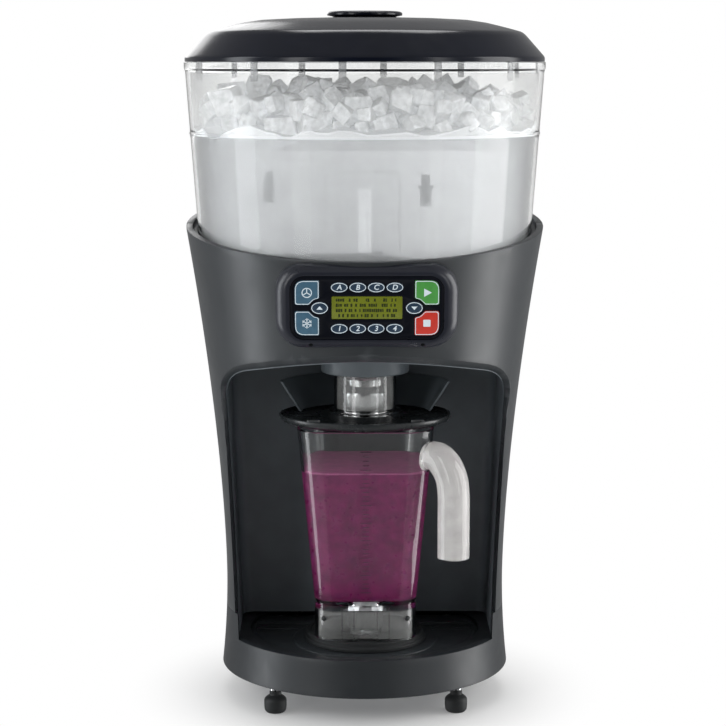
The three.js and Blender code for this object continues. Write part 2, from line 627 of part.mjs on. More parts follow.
// Six-lobed drive star and its pocket.
function star(radius) {
  return Array.from({ length: 24 }, (_, i) => {
    const reach = i % 4 < 2 ? radius : radius - 4;
    const angle = (2 * Math.PI * i) / 24;
    return new THREE.Vector2(reach * Math.cos(angle), JAR_Y + reach * Math.sin(angle));
  });
}
place(group, "jar_clutch", cylinder(22, 91, 114, 0, JAR_Y, ROUND).subtract(slab(star(15), 80, 102.5))
  .subtract(cylinder(5.4, 100, 120, 0, JAR_Y, SMALL)), 0x2a2c2e, 0.6);

// ---------- blender drive ----------
place(group, "drive_spindle", cylinder(7.8, 43, 92, 0, JAR_Y, ROUND).add(slab(star(14.3), 91, 101)),
  0xb0b4b8, 0.3, 0.9);
place(group, "spindle_bearing", turned([
  [8.4, 66], [26, 66], [26, 72.2], [18, 72.2], [18, 86], [8.4, 86], [8.4, 66],
], 0, JAR_Y, ROUND), 0x9a9ea2, 0.35, 0.9);
place(group, "spindle_pulley", pipe(PULLEY_R, 8.3, BELT_Z, BELT_Z + BELT_W, 0, JAR_Y, ROUND), 0x55585b, 0.4, 0.8);

// Slot outline round both pulleys.
function beltLoop(radius) {
  const middle = (JAR_Y + MOTOR_Y) / 2;
  return roundedRect(2 * radius, MOTOR_Y - JAR_Y + 2 * radius, radius - 0.01, 0, middle, 8);
}
place(group, "drive_belt", slab(beltLoop(PULLEY_R + 3.4), BELT_Z + 2, BELT_Z + BELT_W - 2,
  [beltLoop(PULLEY_R + 0.5)]), 0x17181a, 0.8);
place(group, "motor_rotor", cylinder(PULLEY_R, BELT_Z, BELT_Z + BELT_W, 0, MOTOR_Y, ROUND)
  .add(cylinder(6, BELT_Z + BELT_W - 1, 256, 0, MOTOR_Y, SMALL)), 0x9da1a5, 0.35, 0.9);
place(group, "blender_motor", turned([
  [7, 87], [20, 87], [20, 92], [43, 93], [46, 96], [46, 222], [43, 226], [20, 227], [20, 231], [7, 231], [7, 87],
], 0, MOTOR_Y, ROUND), 0x74787c, 0.35, 0.9);

function coolingFan() {
  let fan = cylinder(14, 234, 250, 0, 0, 16);
  for (let i = 0; i < 7; i++) {
    const blade = new THREE.BoxGeometry(28, 2, 13);
    blade.rotateX(0.7);
    blade.translate(26, 0, 242);
    blade.rotateZ((2 * Math.PI * i) / 7);
    fan = fan.add(solid(blade));
  }
  return fan.subtract(cylinder(6.8, 220, 260, 0, 0, SMALL)).translate([0, MOTOR_Y, 0]);
}
place(group, "cooling_fan", coolingFan(), 0x26282a, 0.6);

export default group;
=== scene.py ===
"""Looks of the slushie machine: smooth mouldings, clear hopper with ice, keypad, jar with drink, studio.

Shapes are drawn in millimetres in the CAD frame (+Z up, front towards -Y) and made in metres.
"""
import math
import random

import bmesh
import bpy
from mathutils import Matrix, Vector, noise


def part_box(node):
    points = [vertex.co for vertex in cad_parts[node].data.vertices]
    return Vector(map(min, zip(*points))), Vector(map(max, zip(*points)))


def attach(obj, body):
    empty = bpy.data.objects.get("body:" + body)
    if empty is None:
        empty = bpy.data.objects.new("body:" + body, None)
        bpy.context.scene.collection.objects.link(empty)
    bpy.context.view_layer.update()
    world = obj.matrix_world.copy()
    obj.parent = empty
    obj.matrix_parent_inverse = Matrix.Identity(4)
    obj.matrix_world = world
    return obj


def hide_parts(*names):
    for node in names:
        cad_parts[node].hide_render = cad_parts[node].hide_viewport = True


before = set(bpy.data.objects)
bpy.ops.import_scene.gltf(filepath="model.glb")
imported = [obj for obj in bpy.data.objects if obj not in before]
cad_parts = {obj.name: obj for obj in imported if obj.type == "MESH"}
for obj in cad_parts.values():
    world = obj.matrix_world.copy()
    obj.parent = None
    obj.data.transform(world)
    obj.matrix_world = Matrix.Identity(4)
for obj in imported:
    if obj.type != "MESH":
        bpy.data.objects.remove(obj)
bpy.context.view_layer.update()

MM = 0.001
SIDES = 128  # facets round the big mouldings
FINE = 64  # and round the small ones
AMBIENT = 0.34  # brightness of the room round the lights

# The CAD's driving dimensions, in millimetres.
WALL = 8
WAIST_R = 176
RIM_R = 223.4
RIM_Z = 598
RIM_SLOPE = 0.13
BASE_Z = 38
SEAM_Z = 115
LIP_Z = 84
DECK_Z = 76
DECK_R = 146
BACK_WALL_Y = 52
ARCH_Z = 449
BEVEL_SIDE = 3.5
BEVEL_TOP = 10
JAR_Y = -42
JAR_AXIS = (0, JAR_Y)
JAR_FOOT_Z = 88.3
JAR_FLOOR_Z = 132
JAR_TOP_Z = 354
HOPPER_TOP_Z = 798
FLOOR_TOP_Z = 546.3
PANEL_Z = 517.5
PANEL_TILT = math.radians(8.5)
PANEL_FACE = 6
ARM_ANGLES = (-53, 67, 187)
ARM_ROD_R = 120
DRINK_Z = 300
VENT_Z = 265  # middle of the service opening in the rear
STAGE_R = 2600  # the flat floor round the machine


# ---------- camera, light and stage ----------
def make_camera():
    """A long lens a little left of centre, looking down on the machine."""
    pitch, away, height, left = math.radians(8.3), 2604, 801, 32
    yaw = math.atan2(left, away) - 0.00082
    data = bpy.data.cameras.new("camera")
    data.sensor_width, data.lens = 36, 103.14
    data.clip_end = 60
    camera = link("camera", data)
    camera.location = Vector((-left, -away, height)) * MM
    camera.rotation_euler = (math.pi / 2 - pitch, 0, -yaw)
    bpy.context.scene.camera = camera


def area_light(name, place, target, size, power, color=(1, 1, 1)):
    """A soft light of width and height size, aimed at the target."""
    data = bpy.data.lights.new(name, "AREA")
    data.shape = "RECTANGLE"
    data.size, data.size_y = size
    data.energy = power
    data.color = color
    light = link(name, data)
    light.location = place
    light.rotation_euler = (Vector(target) - Vector(place)).to_track_quat("-Z", "Y").to_euler()


def backdrop_profile():
    """The floor's edge, curved up into a dome."""
    bend = 2 * STAGE_R
    rise = [math.radians(a) for a in range(5, 91, 5)]
    crown = [math.radians(a) for a in range(10, 91, 10)]
    return [(STAGE_R, 0), *[(STAGE_R + bend * math.sin(a), bend * (1 - math.cos(a))) for a in rise],
            *[((STAGE_R + bend) * math.cos(a), bend + 5000 * math.sin(a)) for a in crown]]


def make_studio():
    """Big soft lights at both sides and above, on a pale floor that runs out into a white backdrop.

    A black flag behind the camera is seen only in reflections, so that the glossy fronts stay dark.
    """
    world = bpy.data.worlds.new("studio")
    bpy.context.scene.world = world
    world.use_nodes = True
    background = world.node_tree.nodes["Background"]
    background.inputs["Color"].default_value = (1, 1, 1, 1)
    background.inputs["Strength"].default_value = AMBIENT
    area_light("key", (2.7, 0.0, 0.7), (0, 0, 0.7), (1.5, 3.4), 68)
    area_light("fill", (-2.6, -0.3, 0.7), (0, 0, 0.7), (0.8, 3.4), 40, (0.94, 0.97, 1))
    area_light("top", (0.1, 0.9, 3.0), (0, 0, 0.6), (1.8, 1.0), 32)
    area_light("front_left", (-2.0, -2.2, 1.1), (0.1, 0, 0.4), (0.7, 2.2), 19)
    area_light("front_right", (2.1, -2.1, 1.1), (0, 0, 0.4), (0.5, 2.2), 11)
    area_light("back_left", (-1.05, 3.2, 1.6), (0, 0, 0.85), (1.4, 1.3), 11)
    bpy.context.scene.view_settings.view_transform = "Standard"
    floor = turned("floor", [(0, -2), (STAGE_R, -2), (STAGE_R, 0), (0, 0)])
    floor.data.materials.append(floor_material())
    floor.visible_glossy = False
    dome = turned("backdrop", backdrop_profile())
    dome.data.materials.append(glow_material())
    dome.visible_diffuse = dome.visible_glossy = dome.visible_shadow = False
    flag = block("black_flag", (-1250, -3310, -2200), (1250, -3300, 2300))
    flag.data.materials.append(material("black_flag", (0.002, 0.002, 0.002), 1.0, specular=0.0))
    flag.visible_camera = flag.visible_diffuse = flag.visible_shadow = False


def glow_material():
    """Plain white glow of the backdrop."""
    made = bpy.data.materials.new("backdrop")
    made.use_nodes = True
    fill(made.node_tree, made.node_tree.nodes["Principled BSDF"], {
        "Base Color": (0, 0, 0, 1), "Specular IOR Level": 0, "Emission Color": (1, 1, 1, 1),
        "Emission Strength": 1.0,
    })
    return made


def floor_material():
    """Pale matt floor that brightens with distance from the machine until it meets the backdrop."""
    made = material("floor", (0.88, 0.88, 0.875), 0.6)
    tree = made.node_tree
    spot = add_node(tree, "VectorMath", {0: object_place(tree)}, operation="LENGTH")
    fade = map_range(tree, spot.outputs["Value"], (0.1, 0.31), (0, 1), interpolation_type="SMOOTHSTEP")
    glow = add_node(tree, "Emission")
    blend = add_node(tree, "MixShader", {
        "Fac": fade, 1: tree.nodes["Principled BSDF"].outputs["BSDF"], 2: glow.outputs["Emission"],
    })
    fill(tree, tree.nodes["Material Output"], {"Surface": blend.outputs["Shader"]})
    return made


# ---------- shader nodes ----------
def fill(tree, node, inputs):
    """Sets a node's inputs: a value is set on the socket, and another node's output is linked to it."""
    for socket, value in inputs.items():
        if isinstance(value, bpy.types.NodeSocket):
            tree.links.new(value, node.inputs[socket])
        else:
            node.inputs[socket].default_value = value


def add_node(tree, kind, inputs=None, **settings):
    """A shader node with its settings and inputs."""
    made = tree.nodes.new("ShaderNode" + kind)
    for name, value in settings.items():
        setattr(made, name, value)
    fill(tree, made, inputs or {})
    return made


def object_place(tree):
    return add_node(tree, "TexCoord").outputs["Object"]


def noise_texture(tree, place, size, detail):
    """Noise with patches of about size millimetres."""
    inputs = {"Vector": place, "Scale": 1000 / size, "Detail": detail}
    return add_node(tree, "TexNoise", inputs).outputs["Fac"]


def map_range(tree, source, before, after, **settings):
    """The source mapped from one (low, high) pair to another."""
    ends = {"From Min": before[0], "From Max": before[1], "To Min": after[0], "To Max": after[1]}
    return add_node(tree, "MapRange", {"Value": source, **ends}, **settings).outputs["Result"]


def mix_colors(tree, factor, low, high):
    inputs = {"Factor": factor, "A": low, "B": high}
    return add_node(tree, "Mix", inputs, data_type="RGBA").outputs["Result"]


def add_bump(tree, height, strength, depth):
    """Relief on a material's shader, depth millimetres at full strength."""
    relief = add_node(tree, "Bump", {"Height": height, "Strength": strength, "Distance": depth * MM})
    fill(tree, tree.nodes["Principled BSDF"], {"Normal": relief.outputs["Normal"]})


def shade(color, factor, lift=0.0):
    """A colour made lighter or darker, with its alpha."""
    return (*[min(1, c * factor + lift) for c in color], 1)


# ---------- materials ----------
def material(name, color, roughness, metallic=0.0, grain=0.0, grain_size=0.6, mottle=0.0, mottle_size=30,
             wear=0.0, coat=0.0, specular=0.5, uneven=0.0, **more):
    """A Principled material with a fine grain, a slow mottle of its colour and roughness, and rubbed edges.

    grain is the bump's strength, grain_size and mottle_size are millimetres across.
    """
    made = bpy.data.materials.new(name)
    made.use_nodes = True
    tree = made.node_tree
    shader = tree.nodes["Principled BSDF"]
    fill(tree, shader, {
        "Base Color": (*color, 1), "Roughness": roughness, "Metallic": metallic,
        "Specular IOR Level": specular, "Coat Weight": coat, "Coat Roughness": 0.08,
        **{socket.replace("_", " "): value for socket, value in more.items()},
    })
    place = object_place(tree)
    middle = (0.3, 0.7)  # most of a noise lies between these
    if mottle or wear:
        patches = map_range(tree, noise_texture(tree, place, mottle_size, 3.0), middle, (0, 1))
        result = mix_colors(tree, patches, shade(color, 1 - mottle), shade(color, 1 + mottle))
        if wear:
            pointy = add_node(tree, "NewGeometry").outputs["Pointiness"]
            rubbed = map_range(tree, pointy, (0.52, 0.62), (0, wear))
            result = mix_colors(tree, rubbed, result, shade(color, 2.2, 0.04))
        fill(tree, shader, {"Base Color": result})
    if uneven:
        patches = noise_texture(tree, place, mottle_size * 0.6, 5.0)
        polish = map_range(tree, patches, middle, (roughness - uneven, roughness + uneven))
        fill(tree, shader, {"Roughness": polish})
    if grain:
        add_bump(tree, noise_texture(tree, place, grain_size, 2.0), grain, 0.2)
    return made


def brushed(name, color, roughness, stretch):
    """Metal with fine scratches drawn out along the axes where stretch is large."""
    made = material(name, color, roughness, metallic=1.0, uneven=0.06, mottle=0.08)
    tree = made.node_tree
    drawn_out = {"Vector": object_place(tree), "Scale": [1500 / s for s in stretch]}
    scratches = add_node(tree, "Mapping", drawn_out).outputs["Vector"]
    add_bump(tree, noise_texture(tree, scratches, 1000, 2.0), 0.15, 0.1)
    return made


def frosted(name, color, alpha_low, alpha_high, size, roughness, bump_strength, glow, edge=0.0, lean=None):
    """Cloudy ice: uneven cover, a painted glow for light scattered in it, and painted shade where seen edge
    on.

    lean is (direction, from mm, to mm, factor): painted shade, the glow dimmer by the factor at the near end.
    """
    made = material(name, color, roughness, Emission_Strength=glow, Emission_Color=(*color, 1))
    tree = made.node_tree
    shader = tree.nodes["Principled BSDF"]
    clouds = noise_texture(tree, object_place(tree), size, 5)
    cover = map_range(tree, clouds, (0.3, 0.7), (alpha_low, alpha_high))
    facing = add_node(tree, "LayerWeight").outputs["Facing"]
    turned_away = map_range(tree, facing, (0.22, 0.72), (0, edge))
    thick = add_node(tree, "Math", {0: turned_away, 1: 0.5, 2: cover}, operation="MULTIPLY_ADD",
                     use_clamp=True)
    # painted shade: the tint darkens where the ice is seen edge on
    tint = mix_colors(tree, turned_away, shade(color, 1), shade(color, 0.3))
    fill(tree, shader, {"Alpha": thick.outputs["Value"], "Base Color": tint, "Emission Color": tint})
    if lean:
        direction, near, far, factor = lean
        along = add_node(tree, "VectorMath", {0: object_place(tree), 1: direction}, operation="DOT_PRODUCT")
        # painted shade: the glow is turned down towards the near end
        dimmed = map_range(tree, along.outputs["Value"], (near * MM, far * MM), (glow * factor, glow),
                           interpolation_type="SMOOTHSTEP")
        fill(tree, shader, {"Emission Strength": dimmed})
    add_bump(tree, clouds, bump_strength, 0.9)
    return made


def make_materials():
    clear = dict(Transmission_Weight=1.0, IOR=1.45)
    looks = {
        "housing": material("housing_plastic", (0.030, 0.0345, 0.0385), 0.36, grain=0.25, grain_size=0.9,
                            mottle=0.05, mottle_size=60, wear=0.25, uneven=0.04),
        "base": material("base_plastic", (0.019, 0.0225, 0.026), 0.42, grain=0.22, grain_size=0.9,
                         mottle=0.05, wear=0.25, uneven=0.04),
        # the bay's dark plastic painted about four times lighter than the inner plastic: painted light for
        # the light that falls into the bay
        "bay": material("bay_plastic_painted_lighter", (0.115, 0.135, 0.15), 0.42, grain=0.2, grain_size=0.9,
                        mottle=0.06, uneven=0.05, specular=0.4),
        "inner": material("dark_plastic", (0.029, 0.034, 0.038), 0.42, grain=0.2, grain_size=0.9,
                          mottle=0.06, uneven=0.05, specular=0.4),
        "lid": material("lid_plastic", (0.005, 0.0065, 0.013), 0.2, grain=0.04, grain_size=2,
                        mottle=0.1, wear=0.1, uneven=0.03, specular=0.32),
        "tab": material("smoked_tabs", (0.25, 0.26, 0.27), 0.2, grain=0.05, mottle=0.05, Alpha=0.45),
        "bezel": material("bezel_plastic", (0.017, 0.019, 0.028), 0.3, grain=0.1, mottle=0.05, wear=0.3,
                          uneven=0.03),
        "keypad": material("keypad_film", (0.004, 0.005, 0.009), 0.3, grain=0.08, grain_size=1.2, mottle=0.1,
                           uneven=0.03, specular=0.35),
        "print": material("white_print", (0.72, 0.82, 0.88), 0.45, mottle=0.03, mottle_size=4),
        "lcd": material("lcd_glass", (0.17, 0.2, 0.014), 0.25, mottle=0.12, mottle_size=25, coat=0.6,
                        specular=0.4),
        "lcd_dark": material("lcd_segments", (0.025, 0.035, 0.004), 0.4, mottle=0.1, mottle_size=3),
        "circuit": material("circuit_board", (0.015, 0.1, 0.04), 0.4, mottle=0.3, mottle_size=5),
        "clear": material("clear_polycarbonate", (0.985, 0.99, 0.99), 0.03, **clear),
        "wall_clear": material("hopper_polycarbonate", (0.985, 0.99, 0.99), 0.05, Transmission_Weight=1.0,
                               IOR=1.17),
        "jar_clear": material("jar_polycarbonate", (0.97, 0.98, 0.98), 0.04, uneven=0.02, mottle_size=50,
                              **clear),
        "grip_clear": material("grip_polycarbonate", (0.95, 0.94, 0.93), 0.06, uneven=0.02, mottle_size=40,
                               Transmission_Weight=0.9, IOR=1.35),
        # The frosted looks glow with painted light; all but the loose snow also darken edge on with painted
        # shade.
        "ice": frosted("ice", (0.95, 0.965, 0.98), 0.45, 0.95, 8, 0.1, 1.2, 0.13, edge=0.6),
        "snow": frosted("loose_snow", (0.86, 0.875, 0.89), 1.0, 1.0, 9, 0.6, 0.6, 0.04),
        # packed ice: almost all painted light, a strong glow that takes no shadow, with painted shade dimming
        # it to the lower left
        "bank": frosted("packed_ice", (0.13, 0.132, 0.135), 1.0, 1.0, 60, 0.6, 0.3, 5.4, edge=0.5,
                        lean=((0.6, 0.0, 0.8), 330, 690, 0.25)),
        "frost": frosted("frost_film", (0.8, 0.815, 0.83), 0.3, 0.42, 70, 0.6, 0.2, 0.05, edge=1.0),
        "grip_film": frosted("grip_film", (0.84, 0.83, 0.82), 0.35, 0.55, 30, 0.3, 0.2, 0.05, edge=0.2),
        # the froth's emission is a painted glow
        "froth": material("froth", (0.34, 0.06, 0.19), 0.45, grain=0.6, grain_size=2, mottle=0.2,
                          mottle_size=9, Emission_Color=(0.34, 0.06, 0.19, 1), Emission_Strength=0.12),
        # haze film: a faint cloudy film with a painted glow; on the hopper above the ridge its grey also
        # stands in for the lid's shade
        "haze": frosted("haze_film", (0.8, 0.8, 0.79), 0.07, 0.18, 80, 0.5, 0.1, 0.03, edge=0.35),
        # the post's emission is a painted glow, so that it reads as a pale bar behind the frost
        "post": material("post_plastic", (0.7, 0.71, 0.72), 0.35, grain=0.1, mottle=0.05, uneven=0.04,
                         Emission_Color=(0.8, 0.81, 0.82, 1), Emission_Strength=0.5),
        "drink": material("drink", (0.2, 0.017, 0.105), 0.34, grain=0.5, grain_size=2.5, mottle=0.25,
                          mottle_size=14, uneven=0.1, Subsurface_Weight=0.15),
        "trim_black": material("black_plastic", (0.016, 0.0185, 0.02), 0.28, grain=0.08, mottle=0.08,
                               wear=0.25, uneven=0.04),
        "rubber": material("rubber", (0.016, 0.018, 0.019), 0.55, grain=0.35, grain_size=0.7, mottle=0.12,
                           uneven=0.06, specular=0.35),
        "black_steel": material("black_steel", (0.03, 0.032, 0.035), 0.3, metallic=0.8, grain=0.1,
                                uneven=0.05, mottle=0.1),
        "steel": brushed("brushed_steel", (0.6, 0.61, 0.63), 0.28, (1, 30, 30)),
        "polished": brushed("polished_steel", (0.72, 0.73, 0.74), 0.16, (30, 30, 1)),
        "cup": material("cup_steel", (0.4, 0.41, 0.41), 0.17, metallic=1.0, grain=0.05, uneven=0.03,
                        mottle=0.04),
        "alloy": brushed("machined_alloy", (0.6, 0.61, 0.62), 0.34, (25, 25, 1)),
        "motor": material("motor_paint", (0.12, 0.125, 0.135), 0.4, metallic=0.3, grain=0.3, mottle=0.1,
                          uneven=0.05, wear=0.3),
        "nylon": material("gear_nylon", (0.55, 0.53, 0.46), 0.45, grain=0.15, mottle=0.05, wear=0.1),
        "vent": material("vent_plastic", (0.022, 0.025, 0.027), 0.5, grain=0.35, grain_size=0.8, mottle=0.06,
                         wear=0.2, uneven=0.05),
    }
    keys = {"key_blue": ((0.05, 0.13, 0.2), 0.08), "key_dark": ((0.02, 0.045, 0.08), 0.08),
            "key_green": ((0.07, 0.33, 0.06), 0.06), "key_red": ((0.62, 0.035, 0.02), 0.06)}
    for name, (color, mottle) in keys.items():
        looks[name] = material(name, color, 0.35, grain=0.15, mottle=mottle, mottle_size=6)
    return looks


# ---------- mesh kit ----------
def link(name, data):
    obj = bpy.data.objects.new(name, data)
    bpy.context.scene.collection.objects.link(obj)
    return obj


def new_object(name, points, faces):
    """Object from points in millimetres and faces, its doubles merged and its normals outward."""
    mesh = bpy.data.meshes.new(name)
    mesh.from_pydata([tuple(c * MM for c in p) for p in points], [], faces)
    mesh.validate()
    work = bmesh.new()
    work.from_mesh(mesh)
    bmesh.ops.remove_doubles(work, verts=work.verts, dist=0.002 * MM)
    bmesh.ops.recalc_face_normals(work, faces=work.faces)
    work.to_mesh(mesh)
    work.free()
    return link(name, mesh)


def from_bmesh(name, work):
    """Object from a bmesh, which is used up."""
    mesh = bpy.data.meshes.new(name)
    work.to_mesh(mesh)
    work.free()
    return link(name, mesh)


def around(count):
    """Even angles round a circle."""
    return [2 * math.pi * i / count for i in range(count)]


def rounded(points, steps=5):
    """A polyline of (a, b) or (a, b, radius) corners, with the given corners rounded."""
    out = []
    for i, point in enumerate(points):
        here = Vector(point[:2])
        if len(point) < 3 or i in (0, len(points) - 1):
            out.append(here)
            continue
        before = Vector(points[i - 1][:2]) - here
        after = Vector(points[i + 1][:2]) - here
        reach = min(point[2], before.length * 0.49, after.length * 0.49)
        start, end = here + before.normalized() * reach, here + after.normalized() * reach
        for s in range(steps + 1):
            t = s / steps
            out.append(start * (1 - t) ** 2 + here * 2 * t * (1 - t) + end * t ** 2)
    return out


def turned(name, profile, centre=(0, 0), sides=SIDES):
    """Solid turned from a profile of (radius, z[, rounding]) that meets the axis or closes on itself."""
    line = rounded(profile)
    closed = (line[0] - line[-1]).length < 1e-6
    if closed:
        line = line[:-1]
    points, faces, rows = [], [], []
    for radius, z in line:
        if radius < 1e-6:
            rows.append([len(points)] * sides)
            points.append((centre[0], centre[1], z))
            continue
        rows.append(range(len(points), len(points) + sides))
        points += [(x, y, z) for x, y in ellipse(radius, radius, *centre, sides)]
    for a, b in zip(rows, [*rows[1:], rows[0]] if closed else rows[1:]):
        for i in range(sides):
            j = (i + 1) % sides
            corners = list(dict.fromkeys((a[i], a[j], b[j], b[i])))
            if len(corners) > 2:
                faces.append(corners)
    return new_object(name, points, faces)


def drum(name, radius, low, high, centre=(0, 0), sides=FINE):
    """Plain upright cylinder, for cutting."""
    return turned(name, [(0, low), (radius, low), (radius, high), (0, high)], centre, sides)


def tube(name, outer, inner, low, high, centre=(0, 0), sides=SIDES):
    """Upright ring of square section."""
    profile = [(inner, low), (outer, low), (outer, high), (inner, high), (inner, low)]
    return turned(name, profile, centre, sides)


def loft(name, rings, capped=True):
    """Skin over rings of as many points each, closed at both ends unless it closes on itself."""
    count = len(rings[0])
    points = [p for ring in rings for p in ring]
    faces = []
    for r in range(len(rings) - 1):
        for i in range(count):
            j = (i + 1) % count
            faces.append((r * count + i, r * count + j, (r + 1) * count + j, (r + 1) * count + i))
    if capped:
        faces.append(tuple(range(count)))
        faces.append(tuple(range((len(rings) - 1) * count, len(rings) * count)))
    return new_object(name, points, faces)


def rounded_rect(width, height, radius, x=0.0, y=0.0, steps=10):
    """Rectangle round (x, y), with round corners."""
    points = []
    for sx, sy, start in ((1, 1, 0), (-1, 1, 90), (-1, -1, 180), (1, -1, 270)):
        for i in range(steps + 1):
            angle = math.radians(start + 90 * i / steps)
            points.append((x + sx * (width / 2 - radius) + radius * math.cos(angle),
                           y + sy * (height / 2 - radius) + radius * math.sin(angle)))
    return points


def ellipse(a, b, x=0.0, y=0.0, sides=FINE):
    return [(x + a * math.cos(t), y + b * math.sin(t)) for t in around(sides)]


def at(outline, z):
    """A flat outline's points at a height."""
    return [(x, y, z) for x, y in outline]


def slab(name, outline, low, high):
    return loft(name, [at(outline, low), at(outline, high)])


def block(name, low, high):
    """Box between two corners."""
    outline = [(low[0], low[1]), (high[0], low[1]), (high[0], high[1]), (low[0], high[1])]
    return slab(name, outline, low[2], high[2])


def prism(name, outline, front, back):
    """A front view of (x, z) points, drawn out from y = front to y = back."""
    return loft(name, [[(x, y, z) for x, z in outline] for y in (front, back)])


def settle(obj):
    """Applies the object's modifiers to its mesh."""
    graph = bpy.context.evaluated_depsgraph_get()
    mesh = bpy.data.meshes.new_from_object(obj.evaluated_get(graph))
    obj.modifiers.clear()
    obj.data = mesh
    return obj


def combine(target, tool, how="DIFFERENCE"):
    """Boolean of the target with a tool, which is used up."""
    step = target.modifiers.new("cut", "BOOLEAN")
    step.operation, step.object, step.solver = how, tool, "EXACT"
    bpy.context.view_layer.update()
    settle(target)
    bpy.data.objects.remove(tool)
    return target


def soften(obj, width, segments, angle):
    """Bevel modifier on the edges that are sharper than the angle."""
    step = obj.modifiers.new("edges", "BEVEL")
    step.width, step.segments = width * MM, segments
    step.limit_method, step.angle_limit = "ANGLE", math.radians(angle)


def bevel(obj, width, segments=2, angle=35):
    soften(obj, width, segments, angle)
    return settle(obj)


def join(name, objects):
    """One object from several, each still its own shell in the mesh."""
    work = bmesh.new()
    for obj in objects:
        work.from_mesh(obj.data)
        bpy.data.objects.remove(obj)
    return from_bmesh(name, work)


def place_on(obj, spot, facing):
    """Moves an object made round the origin to a spot, with its Z axis turned to the facing direction."""
    turn = Vector(facing).to_track_quat("Z", "X").to_matrix().to_4x4()
    obj.data.transform(Matrix.Translation(Vector(spot) * MM) @ turn)
    return obj


def cross_slot(head, length, width, low, high, centre=(0, 0)):
    """Cuts a cross recess into a screw head."""
    x, y = centre
    for w, h in ((length, width), (width, length)):
        combine(head, block("cross", (x - w / 2, y - h / 2, low), (x + w / 2, y + h / 2, high)))


def smooth(obj, angle=32):
    """Smooth shading, with a hard edge where faces meet at more than the angle."""
    obj.data.polygons.foreach_set("use_smooth", [True] * len(obj.data.polygons))
    obj.data.set_sharp_from_angle(angle=math.radians(angle))
    obj.data.update()
    return obj


def paint(obj, look):
    obj.data.materials.clear()
    obj.data.materials.append(LOOKS[look])


def piece(obj, body, look, stands_for=(), angle=32):
    """Shades a piece, gives it its material, and rides it on a body."""
    smooth(obj, angle)
    paint(obj, look)
    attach(obj, body)
    if stands_for:
        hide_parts(*([stands_for] if isinstance(stands_for, str) else stands_for))
    return obj


# ---------- housing ----------
def housing_radius(z):
    """The hourglass: narrow above the base, wide at the rim."""
    if z < 150:
        return WAIST_R + 6.4 * ((150 - z) / 112) ** 2
    return min(RIM_R, WAIST_R + 47.5 * ((z - 150) / 448) ** 1.6)


def spaced(low, high, step):
    """Even values from low to high, about a step apart."""
    count = max(1, round((high - low) / step))
    return [low + (high - low) * i / count for i in range(count + 1)]


def housing_band(name, low, high, outer, inner):
    """Part of the housing's wall, from inner to outer millimetres past its surface; inner None is solid."""
    heights = spaced(low, high, 12)
    outside = [(housing_radius(z) + outer, z) for z in heights]
    if inner is None:
        return turned(name, [(0, low), *outside, (0, high)])
    inside = [(housing_radius(z) + inner, z) for z in reversed(heights)]
    return turned(name, [*outside, *inside, outside[0]])


def above_rim():
    """Everything above the sloping rim."""
    reach = 300
    square = ((-reach, -reach), (reach, -reach), (reach, reach), (-reach, reach))
    low = [(x, y, RIM_Z + RIM_SLOPE * y) for x, y in square]
    return loft("above_rim", [low, at(square, 900)])


def bevel_width(z):
    """The bay's edge is rounder at the arch than at its sides."""
    t = min(1, max(0, (z - 330) / 115))
    return BEVEL_SIDE + (BEVEL_TOP - BEVEL_SIDE) * t * t * (3 - 2 * t)


def arch_outline(grow, bottom):
    """Front view of the bay's arch as (x, z), anticlockwise from the bottom right."""
    def curve(a, b, c):
        steps = [i / 12 for i in range(1, 13)]
        return [tuple(p * (1 - t) ** 2 + q * 2 * t * (1 - t) + r * t * t for p, q, r in zip(a, b, c))
                for t in steps]
    foot = 158 + (bottom - DECK_Z) * 0.04
    sides = [(foot + (170.6 - foot) * i / 10, bottom + (388 - bottom) * i / 10) for i in range(11)]
    shoulder = (138, 431.5)
    half = [*sides, *curve((170.6, 388), (173, 424), shoulder), *curve(shoulder, (70, ARCH_Z), (0, ARCH_Z))]
    full = [*half, *[(-x, z) for x, z in reversed(half[:-1])]]
    out = []
    for i, (x, z) in enumerate(full):
        before, after = full[max(i - 1, 0)], full[min(i + 1, len(full) - 1)]
        normal = Vector((after[1] - before[1], before[0] - after[0])).normalized()
        if i in (0, len(full) - 1):
            normal = Vector((math.copysign(1, x), 0))
        out.append((x + normal.x * grow(z), z + normal.y * grow(z)))
    return out


def arch_prism(name, grow, bottom, front, back):
    return prism(name, arch_outline(lambda z: grow, bottom), front, back)


def arch_cutter():
    """The bay's room, flared through the housing's wall into the rounded edge of the arch."""
    def ring(grow, out=0.0, y=None):
        made = []
        for x, z in arch_outline(grow, LIP_Z):
            radius = housing_radius(z) + out
            made.append((x, y if y is not None else -math.sqrt(max(radius ** 2 - x ** 2, 100)), z))
        return made

    def wide(z):
        return 2 * bevel_width(z)
    depth = WALL + 1
    return loft("arch_cutter", [ring(wide, y=-300), ring(wide, depth), ring(lambda z: 0, -depth),
                                ring(lambda z: 0, y=BACK_WALL_Y)])


def panel_matrix():
    """From the panel's own frame, X right, Y up and Z outward, to the housing's front."""
    place = Matrix.Translation(Vector((0, -housing_radius(PANEL_Z), PANEL_Z)) * MM)
    return place @ Matrix.Rotation(math.pi / 2 + PANEL_TILT, 4, "X")


def on_panel(obj):
    """Moves an object from the panel's frame onto the housing."""
    obj.data.transform(PANEL)
    return obj


